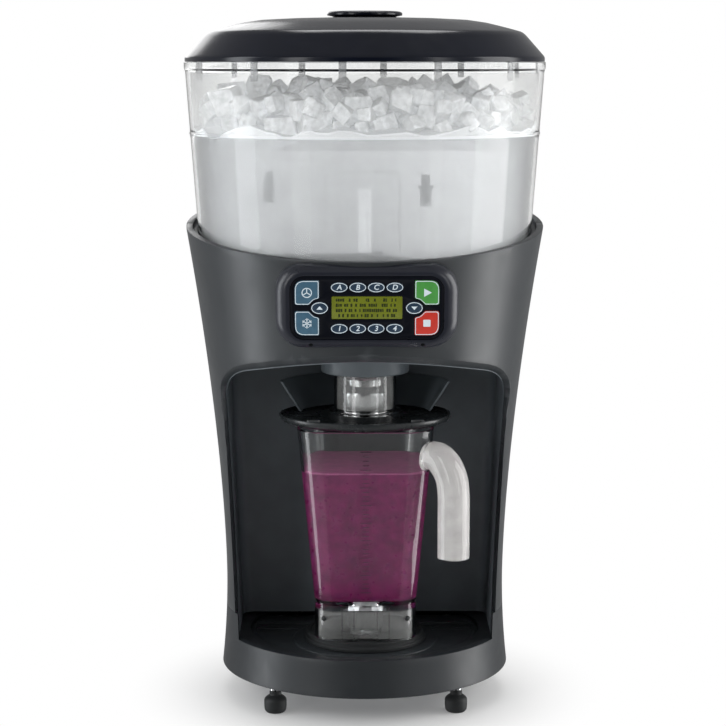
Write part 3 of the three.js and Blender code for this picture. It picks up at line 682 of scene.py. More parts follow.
def make_shells():
    """Both halves of the housing, cut out for the bay, the panel and the service cover."""
    def half(name):
        shell = combine(housing_band(name, SEAM_Z, 640, 0, -WALL), above_rim())
        return combine(shell, arch_cutter())
    front = combine(half("front_housing"), block("behind", (-300, -0.15, 0), (300, 300, 900)))
    front = combine(front, on_panel(slab("window", rounded_rect(182, 80, 20), -60, 20)))
    rear = combine(half("rear_housing"), block("ahead", (-300, -300, 0), (300, 0.15, 900)))
    rear = combine(rear, prism("vent", rounded_rect(130, 200, 15, 0, VENT_Z), 100, 260))
    piece(bevel(front, 0.9), "root", "housing", stands_for="front_shell")
    piece(bevel(rear, 0.9), "root", "housing", stands_for="rear_shell")


def hopper_radius(z):
    """The hopper widens a little upwards."""
    return 210.7 + 0.0716 * (z - 628)


def make_rim_trim():
    """Ring between rim and hopper, a little below the rim."""
    def ring(radius, drop):
        points = []
        for angle in around(SIDES):
            z = RIM_Z
            for _ in range(6):  # the height and the radius settle on each other
                z = RIM_Z - drop + RIM_SLOPE * radius(z) * math.sin(angle)
            points.append((radius(z) * math.cos(angle), radius(z) * math.sin(angle), z))
        return points

    def outer(z):
        return housing_radius(z) - WALL - 0.3

    def inner(z):
        return hopper_radius(z) + 0.8
    rings = [ring(outer, 14), ring(outer, 5), ring(inner, 5), ring(inner, 14), ring(outer, 14)]
    piece(bevel(loft("rim_ring", rings, capped=False), 0.6), "root", "inner", stands_for="rim_trim")


def make_bay():
    """Side walls, ceiling and flat back wall of the blender bay."""
    liner = arch_prism("bay_liner", 3.5, DECK_Z + 0.3, -190, BACK_WALL_Y + 3.5)
    inner = arch_prism("inner", 0, DECK_Z - 5, -260, BACK_WALL_Y)
    combine(liner, bevel(inner, 14, 5, 60))
    combine(liner, housing_band("inside", 60, 600, -WALL - 0.3, None), "INTERSECT")
    inner_r = housing_radius(100) - WALL - 0.3
    for low, high, radius in ((0, LIP_Z + 0.3, 0), (LIP_Z - 1, SEAM_Z + 0.3, inner_r)):
        combine(liner, tube("base_room", 200, radius, low, high))
    collar = [(0, 417), (55, 417, 3), (55, ARCH_Z + 1), (0, ARCH_Z + 1)]
    combine(liner, turned("collar", collar, JAR_AXIS, FINE), "UNION")
    combine(liner, drum("duct_hole", 41.5, 400, 470, JAR_AXIS))
    piece(bevel(liner, 0.5), "root", "bay", "cavity_liner", 25)


def make_base():
    """Base moulding with the deck's seat, open towards the bay."""
    inner = housing_radius(100) - WALL
    outside = [(housing_radius(z), z) for z in (BASE_Z + 3, 48, 58, 68, 76)]
    wall = [(housing_radius(z), z) for z in (LIP_Z + 4, 95, 105)]
    profile = [
        (inner + 3, BASE_Z), (housing_radius(BASE_Z), BASE_Z, 3), *outside, (housing_radius(LIP_Z), LIP_Z),
        *wall, (housing_radius(SEAM_Z), SEAM_Z - 0.3), (inner, SEAM_Z - 0.3), (inner, LIP_Z - 0.6, 1.5),
        (DECK_R, 80, 1.8), (DECK_R, 70, 1), (inner, 70), (inner, BASE_Z), (inner + 3, BASE_Z),
    ]
    base = turned("base_moulding", profile)
    combine(base, arch_prism("bay", 0, LIP_Z, -260, 20))
    combine(base, block("inlet_hole", (-90, 120, 48), (-50, 200, 68)))
    piece(bevel(base, 1.6, 3), "root", "base", stands_for="base_housing")


def make_deck():
    """Shallow drip tray: island under the jar's seat, step along the back and a ridge at each side."""
    tray = turned("drip_tray", [(0, 72.5), (DECK_R - 0.5, 72.5), (DECK_R - 0.5, DECK_Z, 1),
                                (DECK_R - 6, DECK_Z, 1), (DECK_R - 8, 74.5, 1), (0, 74.5)])
    island = turned("island", [(0, 73), (92, 73), (92, 75, 1), (90, DECK_Z, 1), (0, DECK_Z)], JAR_AXIS)
    room = drum("room", DECK_R - 4, 60, 90, sides=SIDES)
    step = combine(bevel(block("step", (-200, 22, 73.2), (200, 100, 77)), 0.8), room, "INTERSECT")
    for extra in (step, island):
        combine(tray, extra, "UNION")
    for side in (-1, 1):
        ends = sorted((side * 86, side * 138))
        combine(tray, bevel(block("ridge", (ends[0], -1, 73.4), (ends[1], 1.6, 76.2)), 0.6), "UNION")
    combine(tray, block("column", (-200, BACK_WALL_Y + 6, 60), (200, 200, 90)))
    combine(tray, drum("spindle_hole", 20, 60, 90, JAR_AXIS))
    piece(tray, "root", "inner", stands_for="deck_tray")


def make_pad():
    """Round seat under the jar, stepped, with a groove in its top."""
    profile = [(30, 76.3), (77, 76.3, 1), (77, 81.5, 1.5), (74, 83, 1), (74, 88, 1.5), (69, 88, 0.5),
               (68, 87, 0.5), (64, 87, 0.5), (63, 88, 0.5), (30, 88, 1), (30, 76.3)]
    piece(turned("jar_seat", profile, JAR_AXIS), "root", "rubber", stands_for="jar_pad")


def make_feet():
    """Levelling feet: a rubber boot on a threaded stud."""
    for name in ("front_left", "front_right", "rear_left", "rear_right"):
        low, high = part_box(f"foot_{name}")
        centre = ((low.x + high.x) / 2 / MM, (low.y + high.y) / 2 / MM)
        profile = [(0, 0), (10.5, 0, 2), (13.2, 2.5, 3), (14, 8, 3), (13.9, 17.5, 4), (9.5, 21, 2),
                   (7.4, 22.2, 1), (7.2, 27.4, 0.6), (0, 27.4)]
        boot = turned(f"boot_{name}", profile, centre, FINE)
        piece(boot, f"foot_{name}", "rubber", stands_for=f"foot_{name}")
        stud = [(0, 27.5)]
        for i in range(18):
            z = 27.9 + i * 1.6
            stud += [(6.6, z), (7.3, z + 0.5), (7.3, z + 0.8), (6.6, z + 1.3)]
        thread = turned(f"stud_{name}", [*stud, (6.6, 58), (0, 58)], centre, FINE)
        piece(thread, f"foot_{name}", "polished", angle=20)


# ---------- rear ----------
def make_rear_cover():
    """Louvred service cover on the rear, held by four screws."""
    cover = housing_band("service_cover", 150, 385, 3.3, 0.3)
    combine(cover, prism("prism", rounded_rect(150, 220, 18, 0, VENT_Z), 100, 260), "INTERSECT")
    for i in range(7):
        combine(cover, prism("slot", rounded_rect(100, 6, 2.9, 0, 199 + i * 22, 5), 100, 260))
    piece(bevel(cover, 0.8), "root", "vent", stands_for="rear_cover")
    for i, (x, z) in enumerate(((-62, 170), (62, 170), (-62, 360), (62, 360))):
        y = math.sqrt((housing_radius(z) + 3.2) ** 2 - x ** 2)
        head = turned(f"cover_screw_{i}", [(0, -1), (4, -1), (4, 0.9, 0.8), (0, 1.4)], sides=FINE)
        cross_slot(head, 4.4, 0.9, 0.4, 3)
        piece(place_on(head, (x, y, z), (x, y, 0)), "root", "steel")


# ---------- control panel ----------
LCD = (82, 27)
BIG_KEY = (14.1, 14.5)  # half width and half height
KEY_X = (-32.1, -10.7, 10.7, 32.1)
KEY_FACE = 5.3  # height of the key tops in the panel's frame


def make_bezel():
    """Raised frame of the control panel, with a screw at each side under the keys."""
    swell = ((212, 100, 34, -40), (212, 100, 34, -4), (209, 98, 33, -1.5), (202, 93, 29, 2.2),
             (194, 87.5, 25, 4.9), (189, 84, 23, 5.9), (186, 81.5, 21, PANEL_FACE))
    body = loft("bezel_frame", [at(rounded_rect(w, h, r, steps=16), z) for w, h, r, z in swell])
    combine(body, slab("opening", rounded_rect(179, 77, 17, steps=12), 1.2, 20))
    combine(body, slab("shelf", rounded_rect(172, 70, 15, steps=12), -80, 2))
    screws = {"left": (-65, -45), "right": (65, -45)}
    for centre in screws.values():
        combine(body, drum("screw_hole", 2.6, 0.5, 20, centre, 32))
    on_panel(body)
    combine(body, housing_band("shell", 440, 600, 0.3, None))
    piece(bevel(body, 0.5, 2, 45), "root", "bezel", stands_for="panel_bezel")
    for side, centre in screws.items():
        head = turned(f"panel_screw_{side}", [(0, 0.9), (2.2, 0.9), (2.2, 2.7, 0.5), (0, 3.0)], centre, 32)
        cross_slot(head, 2.6, 0.6, 2.2, 4, centre)
        piece(on_panel(head), "root", "black_steel", stands_for=f"bezel_screw_{side}")


def big_key(inset=0.0):
    """Key outline with one generous outer corner and one corner hollowed round the arrow key."""
    a, b = BIG_KEY
    corners = [(-a, -b, 3), (-a, b, 11), (a, b, 1.6), (a, -6.8, 1.6), (8.2, -8.2, 2.5), (2, -b, 1.6)]
    points = rounded([(0, -b), *corners, (0, -b)], 6)[:-1]
    return [(p.x * (1 - inset / a), p.y * (1 - inset / b)) for p in points]


def key_shapes():
    """For each key node: its outline for an inset, its centre, and its material."""
    def big(side, level):
        x, y = side * 69.5, level * 18.3
        return lambda inset: [(x - side * px, y + level * py) for px, py in big_key(inset)], (x, y)

    def oval(half_height, x, y):
        return lambda inset: ellipse(10 - inset, half_height - inset, x, y, 48), (x, y)
    shapes = {
        "key_pulse": (*big(-1, 1), "key_blue"), "key_shave": (*big(-1, -1), "key_blue"),
        "key_start": (*big(1, 1), "key_green"), "key_stop": (*big(1, -1), "key_red"),
        "key_up": (*oval(7.4, -54.8, 0), "key_dark"), "key_down": (*oval(7.4, 54.8, 0), "key_dark"),
    }
    for names, y in (("abcd", 24.6), ("1234", -24.8)):
        for x, name in zip(KEY_X, names):
            shapes[f"key_{name}"] = (*oval(6.1, x, y), "key_dark")
    return shapes


def bar(length, width, angle, centre, low, high, start=0.0):
    """A thin printed bar from `start` to `length` along an angle in degrees."""
    c, s = math.cos(math.radians(angle)), math.sin(math.radians(angle))
    corners = ((start, -width / 2), (length, -width / 2), (length, width / 2), (start, width / 2))
    outline = [(centre[0] + u * c - v * s, centre[1] + u * s + v * c) for u, v in corners]
    return slab("bar", outline, low, high)


def legend(text, centre, size, low, high):
    """A slanting letter or number, as a mesh."""
    curve = bpy.data.curves.new("legend", "FONT")
    curve.body, curve.size = text, size * MM
    curve.align_x, curve.align_y = "CENTER", "CENTER"
    curve.extrude, curve.offset, curve.shear = (high - low) / 2 * MM, 0.15 * MM, 0.18
    obj = link("legend", curve)
    bpy.context.view_layer.update()
    mesh = bpy.data.meshes.new_from_object(obj.evaluated_get(bpy.context.evaluated_depsgraph_get()))
    mesh.transform(Matrix.Translation(Vector((centre[0], centre[1], (low + high) / 2)) * MM))
    bpy.data.objects.remove(obj)
    return link("legend", mesh)


def key_icon(name, centre, low, high):
    """Generic symbols and legends: wheel, snowflake, play, stop, arrows, letters and numbers."""
    x, y = centre
    if name == "key_pulse":
        spokes = [bar(4.6, 1.1, a, centre, low, high) for a in (90, 210, 330)]
        return [tube("hoop", 6.0, 4.9, low, high, centre, 48), *spokes]
    if name == "key_shave":
        arms = [bar(6.2, 1.0, a, centre, low, high) for a in range(30, 390, 60)]
        for a in range(30, 390, 60):
            tip = (x + 3.6 * math.cos(math.radians(a)), y + 3.6 * math.sin(math.radians(a)))
            arms += [bar(2.4, 0.8, a + turn, tip, low, high) for turn in (-55, 55)]
        return arms
    if name == "key_start":
        return [slab("play", [(x - 3.6, y - 5), (x + 5.4, y), (x - 3.6, y + 5)], low, high)]
    if name == "key_stop":
        return [slab("stop", rounded_rect(8.4, 8.4, 0.8, x, y, 3), low, high)]
    if name in ("key_up", "key_down"):
        up = 1 if name == "key_up" else -1
        foot = y - 1.8 * up
        return [slab("arrow", [(x - 3.6, foot), (x + 3.6, foot), (x, y + 2.4 * up)], low, high)]
    return [legend(name[-1].upper(), centre, 8.6, low, high)]


def make_keys():
    """Keypad film with a hole for each key, domed keys, and a printed rim and symbol on each."""
    film = slab("keypad_film", rounded_rect(178.2, 76.2, 16.5, steps=12), 1.5, 4.6)
    for outline, _, _ in key_shapes().values():
        combine(film, slab("key_hole", outline(-0.4), 0, 8))
    combine(film, slab("lcd_hole", rounded_rect(LCD[0] + 0.8, LCD[1] + 0.8, 1.5, steps=4), 0, 8))
    piece(bevel(on_panel(film), 0.25, 2, 50), "root", "keypad", stands_for="keypad_overlay")
    for name, (outline, centre, look) in key_shapes().items():
        cap = loft(f"{name}_cap", [at(outline(0), 2.2), at(outline(0), 4.9), at(outline(0.12), 5.15),
                                   at(outline(0.4), KEY_FACE)])
        piece(on_panel(cap), name, look, stands_for=name, angle=50)
        low, high = KEY_FACE + 0.01, KEY_FACE + 0.12
        edge = slab("edge", outline(0.5), low, high)
        combine(edge, slab("inner", outline(1.35), low - 1, high + 1))
        print_work = join(f"{name}_print", [edge, *key_icon(name, centre, low, high)])
        piece(on_panel(print_work), name, "print")


def make_display():
    """Olive display behind a clear front, showing rows of plain blocks."""
    window = slab("display", rounded_rect(LCD[0], LCD[1], 1.2, steps=4), 1.2, 4.0)
    piece(bevel(on_panel(window), 0.2), "root", "lcd", stands_for="lcd_window")
    blocks = []
    draw = random.Random(3)
    for row in range(4):
        v = 9.2 - row * 6.2
        u = -36.0
        while u < 35.0:
            width = draw.choice((1.5, 2.1, 2.1))
            if draw.random() < 0.72:
                height = draw.choice((3.4, 3.9))
                blocks.append(block("cell", (u, v - height / 2, 4.01), (u + width, v + height / 2, 4.07)))
            u += width + draw.choice((0.6, 0.6, 0.6, 2.6))
    piece(on_panel(join("display_blocks", blocks)), "root", "lcd_dark")


# ---------- lid and hopper ----------
def make_lid():
    """Domed black lid with clear tabs that reach into the hopper, and its top disc."""
    low = HOPPER_TOP_Z + 0.3
    profile = [
        (0, 852), (60, 851.8), (95, 850.8), (129, 849.0), (150.5, 845.8), (167, 841.9, 8),
        (181.3, 838.2, 5), (193.6, 834.8, 2.5), (198.4, 831.2, 3), (220.6, 806.2, 2.0), (222.4, 803.8, 1.5),
        (222.4, low, 0.8),
        (214.5, low, 0.5), (214.5, 801.5, 1), (190, 829.5, 6), (165, 837.5), (125, 844.8), (0, 847.5),
    ]
    piece(turned("lid", profile, sides=160), "lid", "lid", stands_for="hopper_lid")
    tabs = []
    for i in range(12):
        tab = bevel(block("tab", (-4.5, -214.5, 776), (4.5, -211.5, 803)), 0.8)
        tab.data.transform(Matrix.Rotation(math.radians(-7.5 + 30 * i), 4, "Z"))
        tabs.append(tab)
    piece(join("lid_tabs", tabs), "lid", "tab")
    disc = [(0, 852.4), (38, 852.3), (40, 853.6, 0.6), (46.5, 854.8, 0.8), (46.5, 858, 1.5),
            (44, 859.4, 1.5), (40, 860, 2), (0, 860)]
    piece(turned("lid_disc", disc), "lid", "lid", stands_for="lid_knob")


def make_hopper():
    """Clear wall with a ridge round it at the frost's top and a lip for the lid."""
    r = hopper_radius
    lip = r(788) + 1.4
    profile = [
        (r(547), FLOOR_TOP_Z, 1), (r(640), 640), (r(706), 706), (r(709.5) + 0.4, 709.5),
        (r(711) + 1.1, 711, 0.8), (r(713) + 0.2, 713), (r(716), 716), (r(787), 787, 1.5), (lip, 790.5, 1),
        (lip, HOPPER_TOP_Z, 1), (r(788) - 4, HOPPER_TOP_Z, 1), (r(711) - 4, 711),
        (r(547) - 4, FLOOR_TOP_Z, 1), (r(547), FLOOR_TOP_Z, 1),
    ]
    piece(turned("hopper_wall", profile, sides=160), "root", "wall_clear", "hopper")


def ice_lump(size, draw):
    """One broken cube: the hull of jittered corners and a few points between them."""
    work = bmesh.new()
    stretch = Vector([draw.uniform(0.38, 0.6) for _ in range(3)]) * size
    for corner in range(8):
        signs = Vector([1 if corner >> axis & 1 else -1 for axis in range(3)])
        work.verts.new([s * e * draw.uniform(0.62, 1.1) for s, e in zip(signs, stretch)])
    for _ in range(7):
        way = Vector([draw.uniform(-1, 1) for _ in range(3)]).normalized()
        work.verts.new([w * e * 1.2 for w, e in zip(way, stretch)])
    hull = bmesh.ops.convex_hull(work, input=work.verts[:])
    bmesh.ops.delete(work, geom=list(set(hull["geom_interior"] + hull["geom_unused"])), context="VERTS")
    bmesh.ops.bevel(work, geom=work.edges[:], offset=size * 0.05, segments=1, affect="EDGES", profile=0.5,
                    clamp_overlap=True)
    axis = Vector((draw.uniform(-1, 1), draw.uniform(-1, 1), draw.uniform(0.1, 1)))
    bmesh.ops.rotate(work, matrix=Matrix.Rotation(draw.uniform(0, 6.3), 3, axis), verts=work.verts)
    return work


def snow_top(x, y):
    """Height of the packed snow under the loose lumps."""
    place = Vector((x, y, 0))
    slump = 18 * max(0, (place.length - 120) / 80)
    return 738 - slump + 14 * noise.noise(place / 70) + 8 * noise.noise(place / 24 + Vector((9, 4, 2)))


def snow_bed(reach):
    """Packed snow from the ridge up, with a lumpy top."""
    rings, turns = 26, 120
    compass = [(math.cos(t), math.sin(t)) for t in around(turns)]
    points = [(0, 0, snow_top(0, 0))]
    for k in range(1, rings + 1):
        radius = reach(740) * k / rings
        points += [(radius * u, radius * v, snow_top(radius * u, radius * v)) for u, v in compass]
    points += [(reach(708) * u, reach(708) * v, 708) for u, v in compass]
    points.append((0, 0, 708))
    faces = [(0, 1 + i, 1 + (i + 1) % turns) for i in range(turns)]
    for k in range(rings):
        for i in range(turns):
            j = (i + 1) % turns
            low, high = 1 + k * turns, 1 + (k + 1) * turns
            faces.append((low + i, high + i, high + j, low + j))
    last = len(points) - 1
    edge = last - turns
    faces += [(edge + i, last, edge + (i + 1) % turns) for i in range(turns)]
    return new_object("snow_bed", points, faces)


def ice_heap(reach, draw):
    """Loose lumps on the snow, the outer ones pressed against the wall."""
    heap = bmesh.new()
    placed = []
    for attempt in range(7000):
        at_wall = attempt % 2 == 0
        size = draw.uniform(19, 40)
        far = reach(740) - size * 0.62
        radius = draw.uniform(far - 14, far) if at_wall else far * math.sqrt(draw.random())
        angle = draw.uniform(0, 2 * math.pi)
        x, y = radius * math.cos(angle), radius * math.sin(angle)
        crown = 768 - 0.04 * radius - size * 0.4 + 14 * noise.noise(Vector((x, y, 30)) / 60)
        z = draw.uniform(718, crown) if at_wall else draw.uniform(snow_top(x, y), crown + 4)
        spot = Vector((x, y, z))
        if any((spot - other).length < 0.42 * (size + other_size) for other, other_size in placed):
            continue
        placed.append((spot, size))
        lump = from_bmesh("lump", ice_lump(size * MM, draw))
        lump.data.transform(Matrix.Translation(spot * MM))
        heap.from_mesh(lump.data)
        bpy.data.objects.remove(lump)
    return from_bmesh("ice_lumps", heap)


def make_ice():
    """Frost on the wall, packed ice behind the paddle, snow above the ridge and loose lumps on top."""
    def reach(z):
        return hopper_radius(z) - 4.6

    def film(name, low, high):
        heights = spaced(low, high, 12)
        inside = [(reach(z) - 0.8, z) for z in reversed(heights)]
        return turned(name, [*[(reach(z), z) for z in heights], *inside, (reach(low), low)])
    piece(film("frost_film", 552, 710), "root", "frost")
    # the haze film greys the hopper above the ridge: a cloudy wall and painted shade of the lid
    piece(film("haze_film", 713, 785), "root", "haze")
    heap = [(0, 547), (reach(560) - 6, 547, 4), (reach(700) - 5, 700, 8), (150, 706), (0, 707)]
    bank = turned("packed_ice", heap)
    room = ((-250, 500), (14, 500), (14, 690), (-30, 702), (-250, 702))
    combine(bank, loft("front_room", [[(x, y, z) for y, z in room] for x in (-250, 250)]))
    combine(bank, bevel(block("channel", (-51, -40, 500), (46, 34, 664)), 12, 4))
    piece(bank, "root", "bank", angle=40)
    piece(snow_bed(lambda z: reach(z) - 1.2), "root", "snow", angle=70)
    piece(ice_heap(reach, random.Random(11)), "root", "ice", angle=22)


def make_paddle():
    """Agitator: hub, arms and three upright pins with ice on them, round a pale centre post; ice and post
    have a painted glow.
    """
    hub = [(0, 497), (8.9, 497), (8.9, 548), (24, 549, 2), (24, 557, 4), (10, 563, 2), (0, 563)]
    pin = [(0, 556), (4.6, 556), (4.6, 625), (6.9, 628, 1), (6.9, 647, 1), (9.6, 648.4, 0.6),
           (9.6, 651.6, 0.6), (5.4, 652.6, 0.6), (5.4, 664, 1), (3.5, 666, 0.5), (3.5, 689, 1), (0, 690)]
    parts = [turned("hub", hub, sides=FINE)]
    sleeves = []
    for degrees in ARM_ANGLES:
        angle = math.radians(degrees)
        arm = bevel(block("arm", (10, -8, 552), (188, 8, 562)), 3, 3)
        arm.data.transform(Matrix.Rotation(angle, 4, "Z"))
        centre = (ARM_ROD_R * math.cos(angle), ARM_ROD_R * math.sin(angle))
        for low, high, radius in ((562.5, 627, 6.6), (664.5, 690.5, 4.4)):
            sleeve = [(0, low), (radius, low), (radius, high, 1.5), (0, high)]
            sleeves.append(turned("pin_sleeve", sleeve, centre, 32))
        parts += [arm, turned("pin", pin, centre, 32)]
    piece(join("agitator", parts), "paddle", "trim_black", stands_for="paddle")
    piece(join("pin_sleeves", sleeves), "paddle", "bank")
    post = turned("centre_post", [(0, 563.2), (8.2, 563.2), (8, 640, 2), (0, 643)], sides=FINE)
    combine(post, block("groove", (-1.0, -12, 570), (1.0, -6.4, 622)))
    piece(post, "paddle", "post")


# ---------- blender bay ----------
def jar_flare(z):
    return max(0.0, (z - JAR_FLOOR_Z) / (JAR_TOP_Z - JAR_FLOOR_Z))


def jar_half(z):
    """Half the jar's width, which grows from its floor to its top."""
    return 63 + 21 * jar_flare(z)


def jar_ring(z, inset=0.0, steps=10):
    """The jar's square outline with round corners at a height, inset by some millimetres."""
    half = jar_half(z) - inset
    return at(rounded_rect(2 * half, 2 * half, 26 + 9 * jar_flare(z) - inset, 0, JAR_Y, steps), z)


def jar_loft(name, levels, steps=10, capped=True):
    """Skin over (height, inset) levels of the jar's outline."""
    return loft(name, [jar_ring(z, inset, steps) for z, inset in levels], capped)


def make_jar():
    """Clear jar: tapered walls, open skirt with a front notch and ribs, measuring marks and two rivets."""
    heights = [JAR_FOOT_Z + 1.2, *spaced(JAR_FLOOR_Z - 12, JAR_FLOOR_Z + 12, 4), *spaced(160, 340, 30)]
    body = jar_loft("jar_wall", [(JAR_FOOT_Z, 1), *[(z, 0) for z in heights], (348, -0.2),
                                 (JAR_TOP_Z - 1, -0.2), (JAR_TOP_Z, 0.6)])
    combine(body, jar_loft("skirt", [(80, 4), (126, 4.2), (JAR_FLOOR_Z, 8)]))
    combine(body, jar_loft("well", [(JAR_FLOOR_Z + 5, 12), (JAR_FLOOR_Z + 8, 6), (JAR_FLOOR_Z + 14, 3.8),
                                    (260, 3.5), (JAR_TOP_Z + 4, 3.5)]))
    combine(body, drum("bore", 22, 120, 150, JAR_AXIS))
    arch = rounded([(-9, 80), (-9, 90), (-5.5, 95, 3), (0, 97.5, 5), (5.5, 95, 3), (9, 90), (9, 80)])
    combine(body, prism("notch", arch, -130, -80))
    front = JAR_Y - 60
    for x, depth in ((-29, 9), (-14.5, 12), (14.5, 12), (29, 9)):
        rib = block("rib", (x - 0.9, front, JAR_FOOT_Z + 1.5), (x + 0.9, front + depth, 128))
        combine(body, rib, "UNION")
    piece(body, "jar", "jar_clear", "jar", angle=28)
    marks = []
    for i in range(33):
        z = 150 + i * 5.6
        half = 7 if i % 4 == 0 else 4
        y = JAR_Y - jar_half(z) - 0.12
        marks.append(block("mark", (-half, y, z), (half, y + 0.1, z + 0.6)))
    piece(join("jar_graduations", marks), "jar", "inner")
    for side, name in ((-1, "left"), (1, "right")):
        rivet = turned(f"skirt_rivet_{name}", [(0, -1), (3.2, -1), (3.2, 1.2, 1), (0, 1.9)], sides=32)
        place_on(rivet, (side * 51.9, JAR_Y - 58.3, 116), (side * 0.574, -0.819, 0))
        piece(rivet, "jar", "trim_black")


def make_skirt_film():
    """Fine scuffing on the inside of the jar's skirt."""
    # A faint grey film inside the jar's skirt, painted light with a faint glow that lifts the dark skirt.
    levels = ((90, 4.6), (124, 4.6), (124, 5.0), (90, 5.0), (90, 4.6))
    piece(jar_loft("skirt_lifting_film", levels, capped=False), "jar", "haze")


def grip_body(name, thinner):
    """The hook's tube, less `thinner` all round, cut off where it meets the jar."""
    heading = math.radians(-40)
    bend = ((92, 319), (106, 323), (120, 319), (133, 304), (138.5, 282), (139, 240), (139, 200.4))
    route = [Vector(point) for point in bend]
    spline = [catmull(route, i / 10) for i in range(10 * (len(route) - 1) + 1)]
    rings = []
    for i, p in enumerate(spline):
        radius = 16.5 + 2 * min(1, i / 24) - thinner
        before, after = spline[max(i - 1, 0)], spline[min(i + 1, len(spline) - 1)]
        along = (after - before).normalized()
        side = Vector((along.y, -along.x))
        ring = []
        for angle in around(48):
            u, v = [math.copysign(abs(w) ** 0.8, w) * radius for w in (math.cos(angle), math.sin(angle))]
            s, z, across = p.x + side.x * u, p.y + side.y * u, v * 0.97
            ring.append((s * math.cos(heading) - across * math.sin(heading),
                         JAR_Y + s * math.sin(heading) + across * math.cos(heading), z))
        rings.append(ring)
    grip = loft(name, rings)
    combine(grip, jar_loft("jar_room", [(200, -0.4 - thinner), (370, -0.4 - thinner)]))
    return grip


def make_grip():
    """Clear hook at the jar's front right corner, cloudy inside."""
    piece(bevel(grip_body("grip", 0), 1.6, 3, 50), "jar", "grip_clear", "jar_handle", 40)
    piece(grip_body("grip_core", 3.2), "jar", "grip_film", angle=40)


def catmull(points, t):
    """Point at t on a Catmull-Rom curve through points."""
    i = min(int(t), len(points) - 2)
    u = t - i
    p0, p1 = points[max(i - 1, 0)], points[i]
    p2, p3 = points[i + 1], points[min(i + 2, len(points) - 1)]
    return 0.5 * (2 * p1 + (p2 - p0) * u + (2 * p0 - 5 * p1 + 4 * p2 - p3) * u ** 2
                  + (3 * p1 - p0 - 3 * p2 + p3) * u ** 3)


def make_drink():
    """Purple slush just inside the jar's wall, so that no air shows between them, with froth on top."""
    inset = 3.3
    levels = [(JAR_FLOOR_Z + 4.6, 12), (JAR_FLOOR_Z + 7.7, 5.8), (JAR_FLOOR_Z + 13.7, 3.6), (200, inset),
              (260, inset), (DRINK_Z - 1, inset), (DRINK_Z + 0.6, inset), (DRINK_Z, inset + 3),
              (DRINK_Z - 0.6, 30)]
    body = jar_loft("drink", levels, 12)
    combine(body, drum("cutter_room", 36, 130, 172, JAR_AXIS))
    piece(body, "jar", "drink", angle=40)
    crown = ((DRINK_Z - 5, 3.7), (DRINK_Z + 2, 3.7), (DRINK_Z + 3, 6), (DRINK_Z + 1.6, 20))
    froth = jar_loft("froth", crown, 12)
    for vert in froth.data.vertices:
        if vert.co.z > DRINK_Z * MM:
            vert.co.z += 1.6 * MM * noise.noise(vert.co * 60)
    piece(froth, "jar", "froth", angle=50)


def make_splash_lid():
    """Oval dish on the jar with a bright neck, cut off at a slant, and a steel clip at each side."""
    levels = ((96, 79, 354.4), (100, 83, 354.8), (105, 88, 357.5), (107, 90, 361), (107, 90, 364),
              (106.2, 89.2, 365), (105.2, 88.2, 365), (104.4, 87.4, 364), (104, 87, 361.5), (102, 85, 360),
              (97, 80, 359.5))
    dish = loft("splash_dish", [at(ellipse(a, b, 0, JAR_Y, 96), z) for a, b, z in levels])
    seat = [(40, 358), (45.4, 358), (45.4, 366, 0.8), (40, 366, 0.5), (40, 358)]
    combine(dish, turned("seat", seat, JAR_AXIS, FINE), "UNION")
    combine(dish, drum("bore", 33.8, 340, 370, JAR_AXIS))
    piece(dish, "splash_lid", "trim_black", stands_for="splash_lid", angle=35)
    neck = turned("splash_neck", [
        (30.5, 350), (33.5, 350, 0.6), (32.3, 393, 3), (27.5, 401, 3), (27, 418), (24.5, 418), (24.5, 400, 3),
        (29.3, 392, 3), (30.5, 350),
    ], JAR_AXIS, FINE)
    slant = ((-80, 407), (0, 419), (0, 470), (-80, 470))
    combine(neck, loft("wedge", [[(x, y, z) for y, z in slant] for x in (-60, 60)]))
    piece(bevel(neck, 0.5), "splash_lid", "cup")
    for side, name in ((-1, "left"), (1, "right")):
        x = side * 64
        clip = block(f"lid_clip_{name}", (x - 8, -87, 359.6), (x + 8, -81, 362.5))
        piece(bevel(clip, 0.8), "splash_lid", "steel")


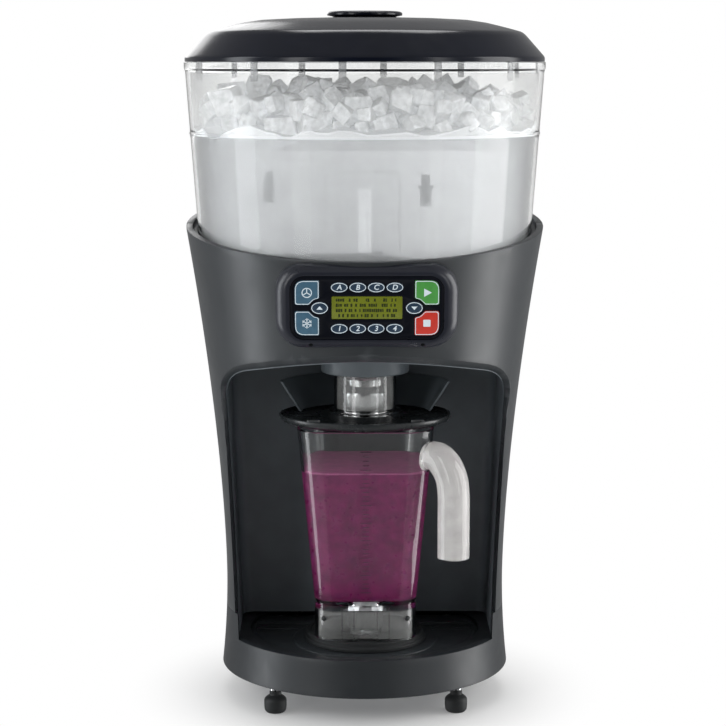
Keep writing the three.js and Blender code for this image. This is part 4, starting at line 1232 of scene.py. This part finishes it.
def make_sleeve():
    """Clear sleeve of the ice chute, with a cloudy film inside that has a faint painted glow."""
    sleeve = turned("clear_sleeve", [
        (36, 366.3), (45, 366.3, 0.8), (45, 369.5, 0.8), (38.6, 370.2, 0.8), (38.6, 455, 0.8), (36, 455, 0.8),
        (36, 366.3),
    ], JAR_AXIS)
    piece(sleeve, "splash_lid", "clear", stands_for="chute_sleeve")
    piece(tube("sleeve_film", 35.7, 35.3, 372, 453, JAR_AXIS), "splash_lid", "haze")


def make_shield():
    """Half funnel behind the sleeve, with rolled ends."""
    def half_ring(a, b, z):
        angles = [math.pi * i / 48 for i in range(49)]
        return [(a * math.cos(t), JAR_Y + b * math.sin(t), z) for t in angles]
    rings = []
    for a, b, z in ((82, 64, 366.3), (94, 76, 385), (105, 87, 402.5), (106, 88, 404)):
        rings.append(half_ring(a, b, z) + list(reversed(half_ring(a - 3, b - 3, z))))
    shield = bevel(loft("funnel_shield", rings), 0.8)
    # painted with the bay's lightened plastic: painted light that lifts it out of the bay's shade
    piece(shield, "splash_lid", "bay", stands_for="splash_shield")


def make_hidden_parts():
    """CAD parts that stay: softened edges and their own materials."""
    nodes_of = {
        "steel": ("base_plate", "hopper_floor"),
        "polished": ("shaver_blade", "shaver_pinion", "drive_spindle", "cutter"),
        "alloy": ("motor_rotor", "spindle_pulley", "spindle_bearing", "cutter_bearing"),
        "motor": ("shaver_motor", "blender_motor"),
        "inner": ("ice_duct", "duct_mouth"),
        "trim_black": ("power_inlet", "cooling_fan"),
        "rubber": ("drive_belt", "jar_clutch"),
        "circuit": ("control_board",),
        "nylon": ("paddle_gear",),
    }
    for look, names in nodes_of.items():
        for name in names:
            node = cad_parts[name]
            paint(node, look)
            soften(node, 0.35, 2, 40)
            smooth(node, 36)


make_camera()
make_studio()
LOOKS = make_materials()
PANEL = panel_matrix()
for make in (make_shells, make_rim_trim, make_bay, make_base, make_deck, make_pad, make_feet, make_rear_cover,
             make_bezel, make_keys, make_display, make_lid, make_hopper, make_ice, make_paddle, make_jar,
             make_skirt_film, make_grip, make_drink, make_splash_lid, make_sleeve, make_shield,
             make_hidden_parts):
    make()
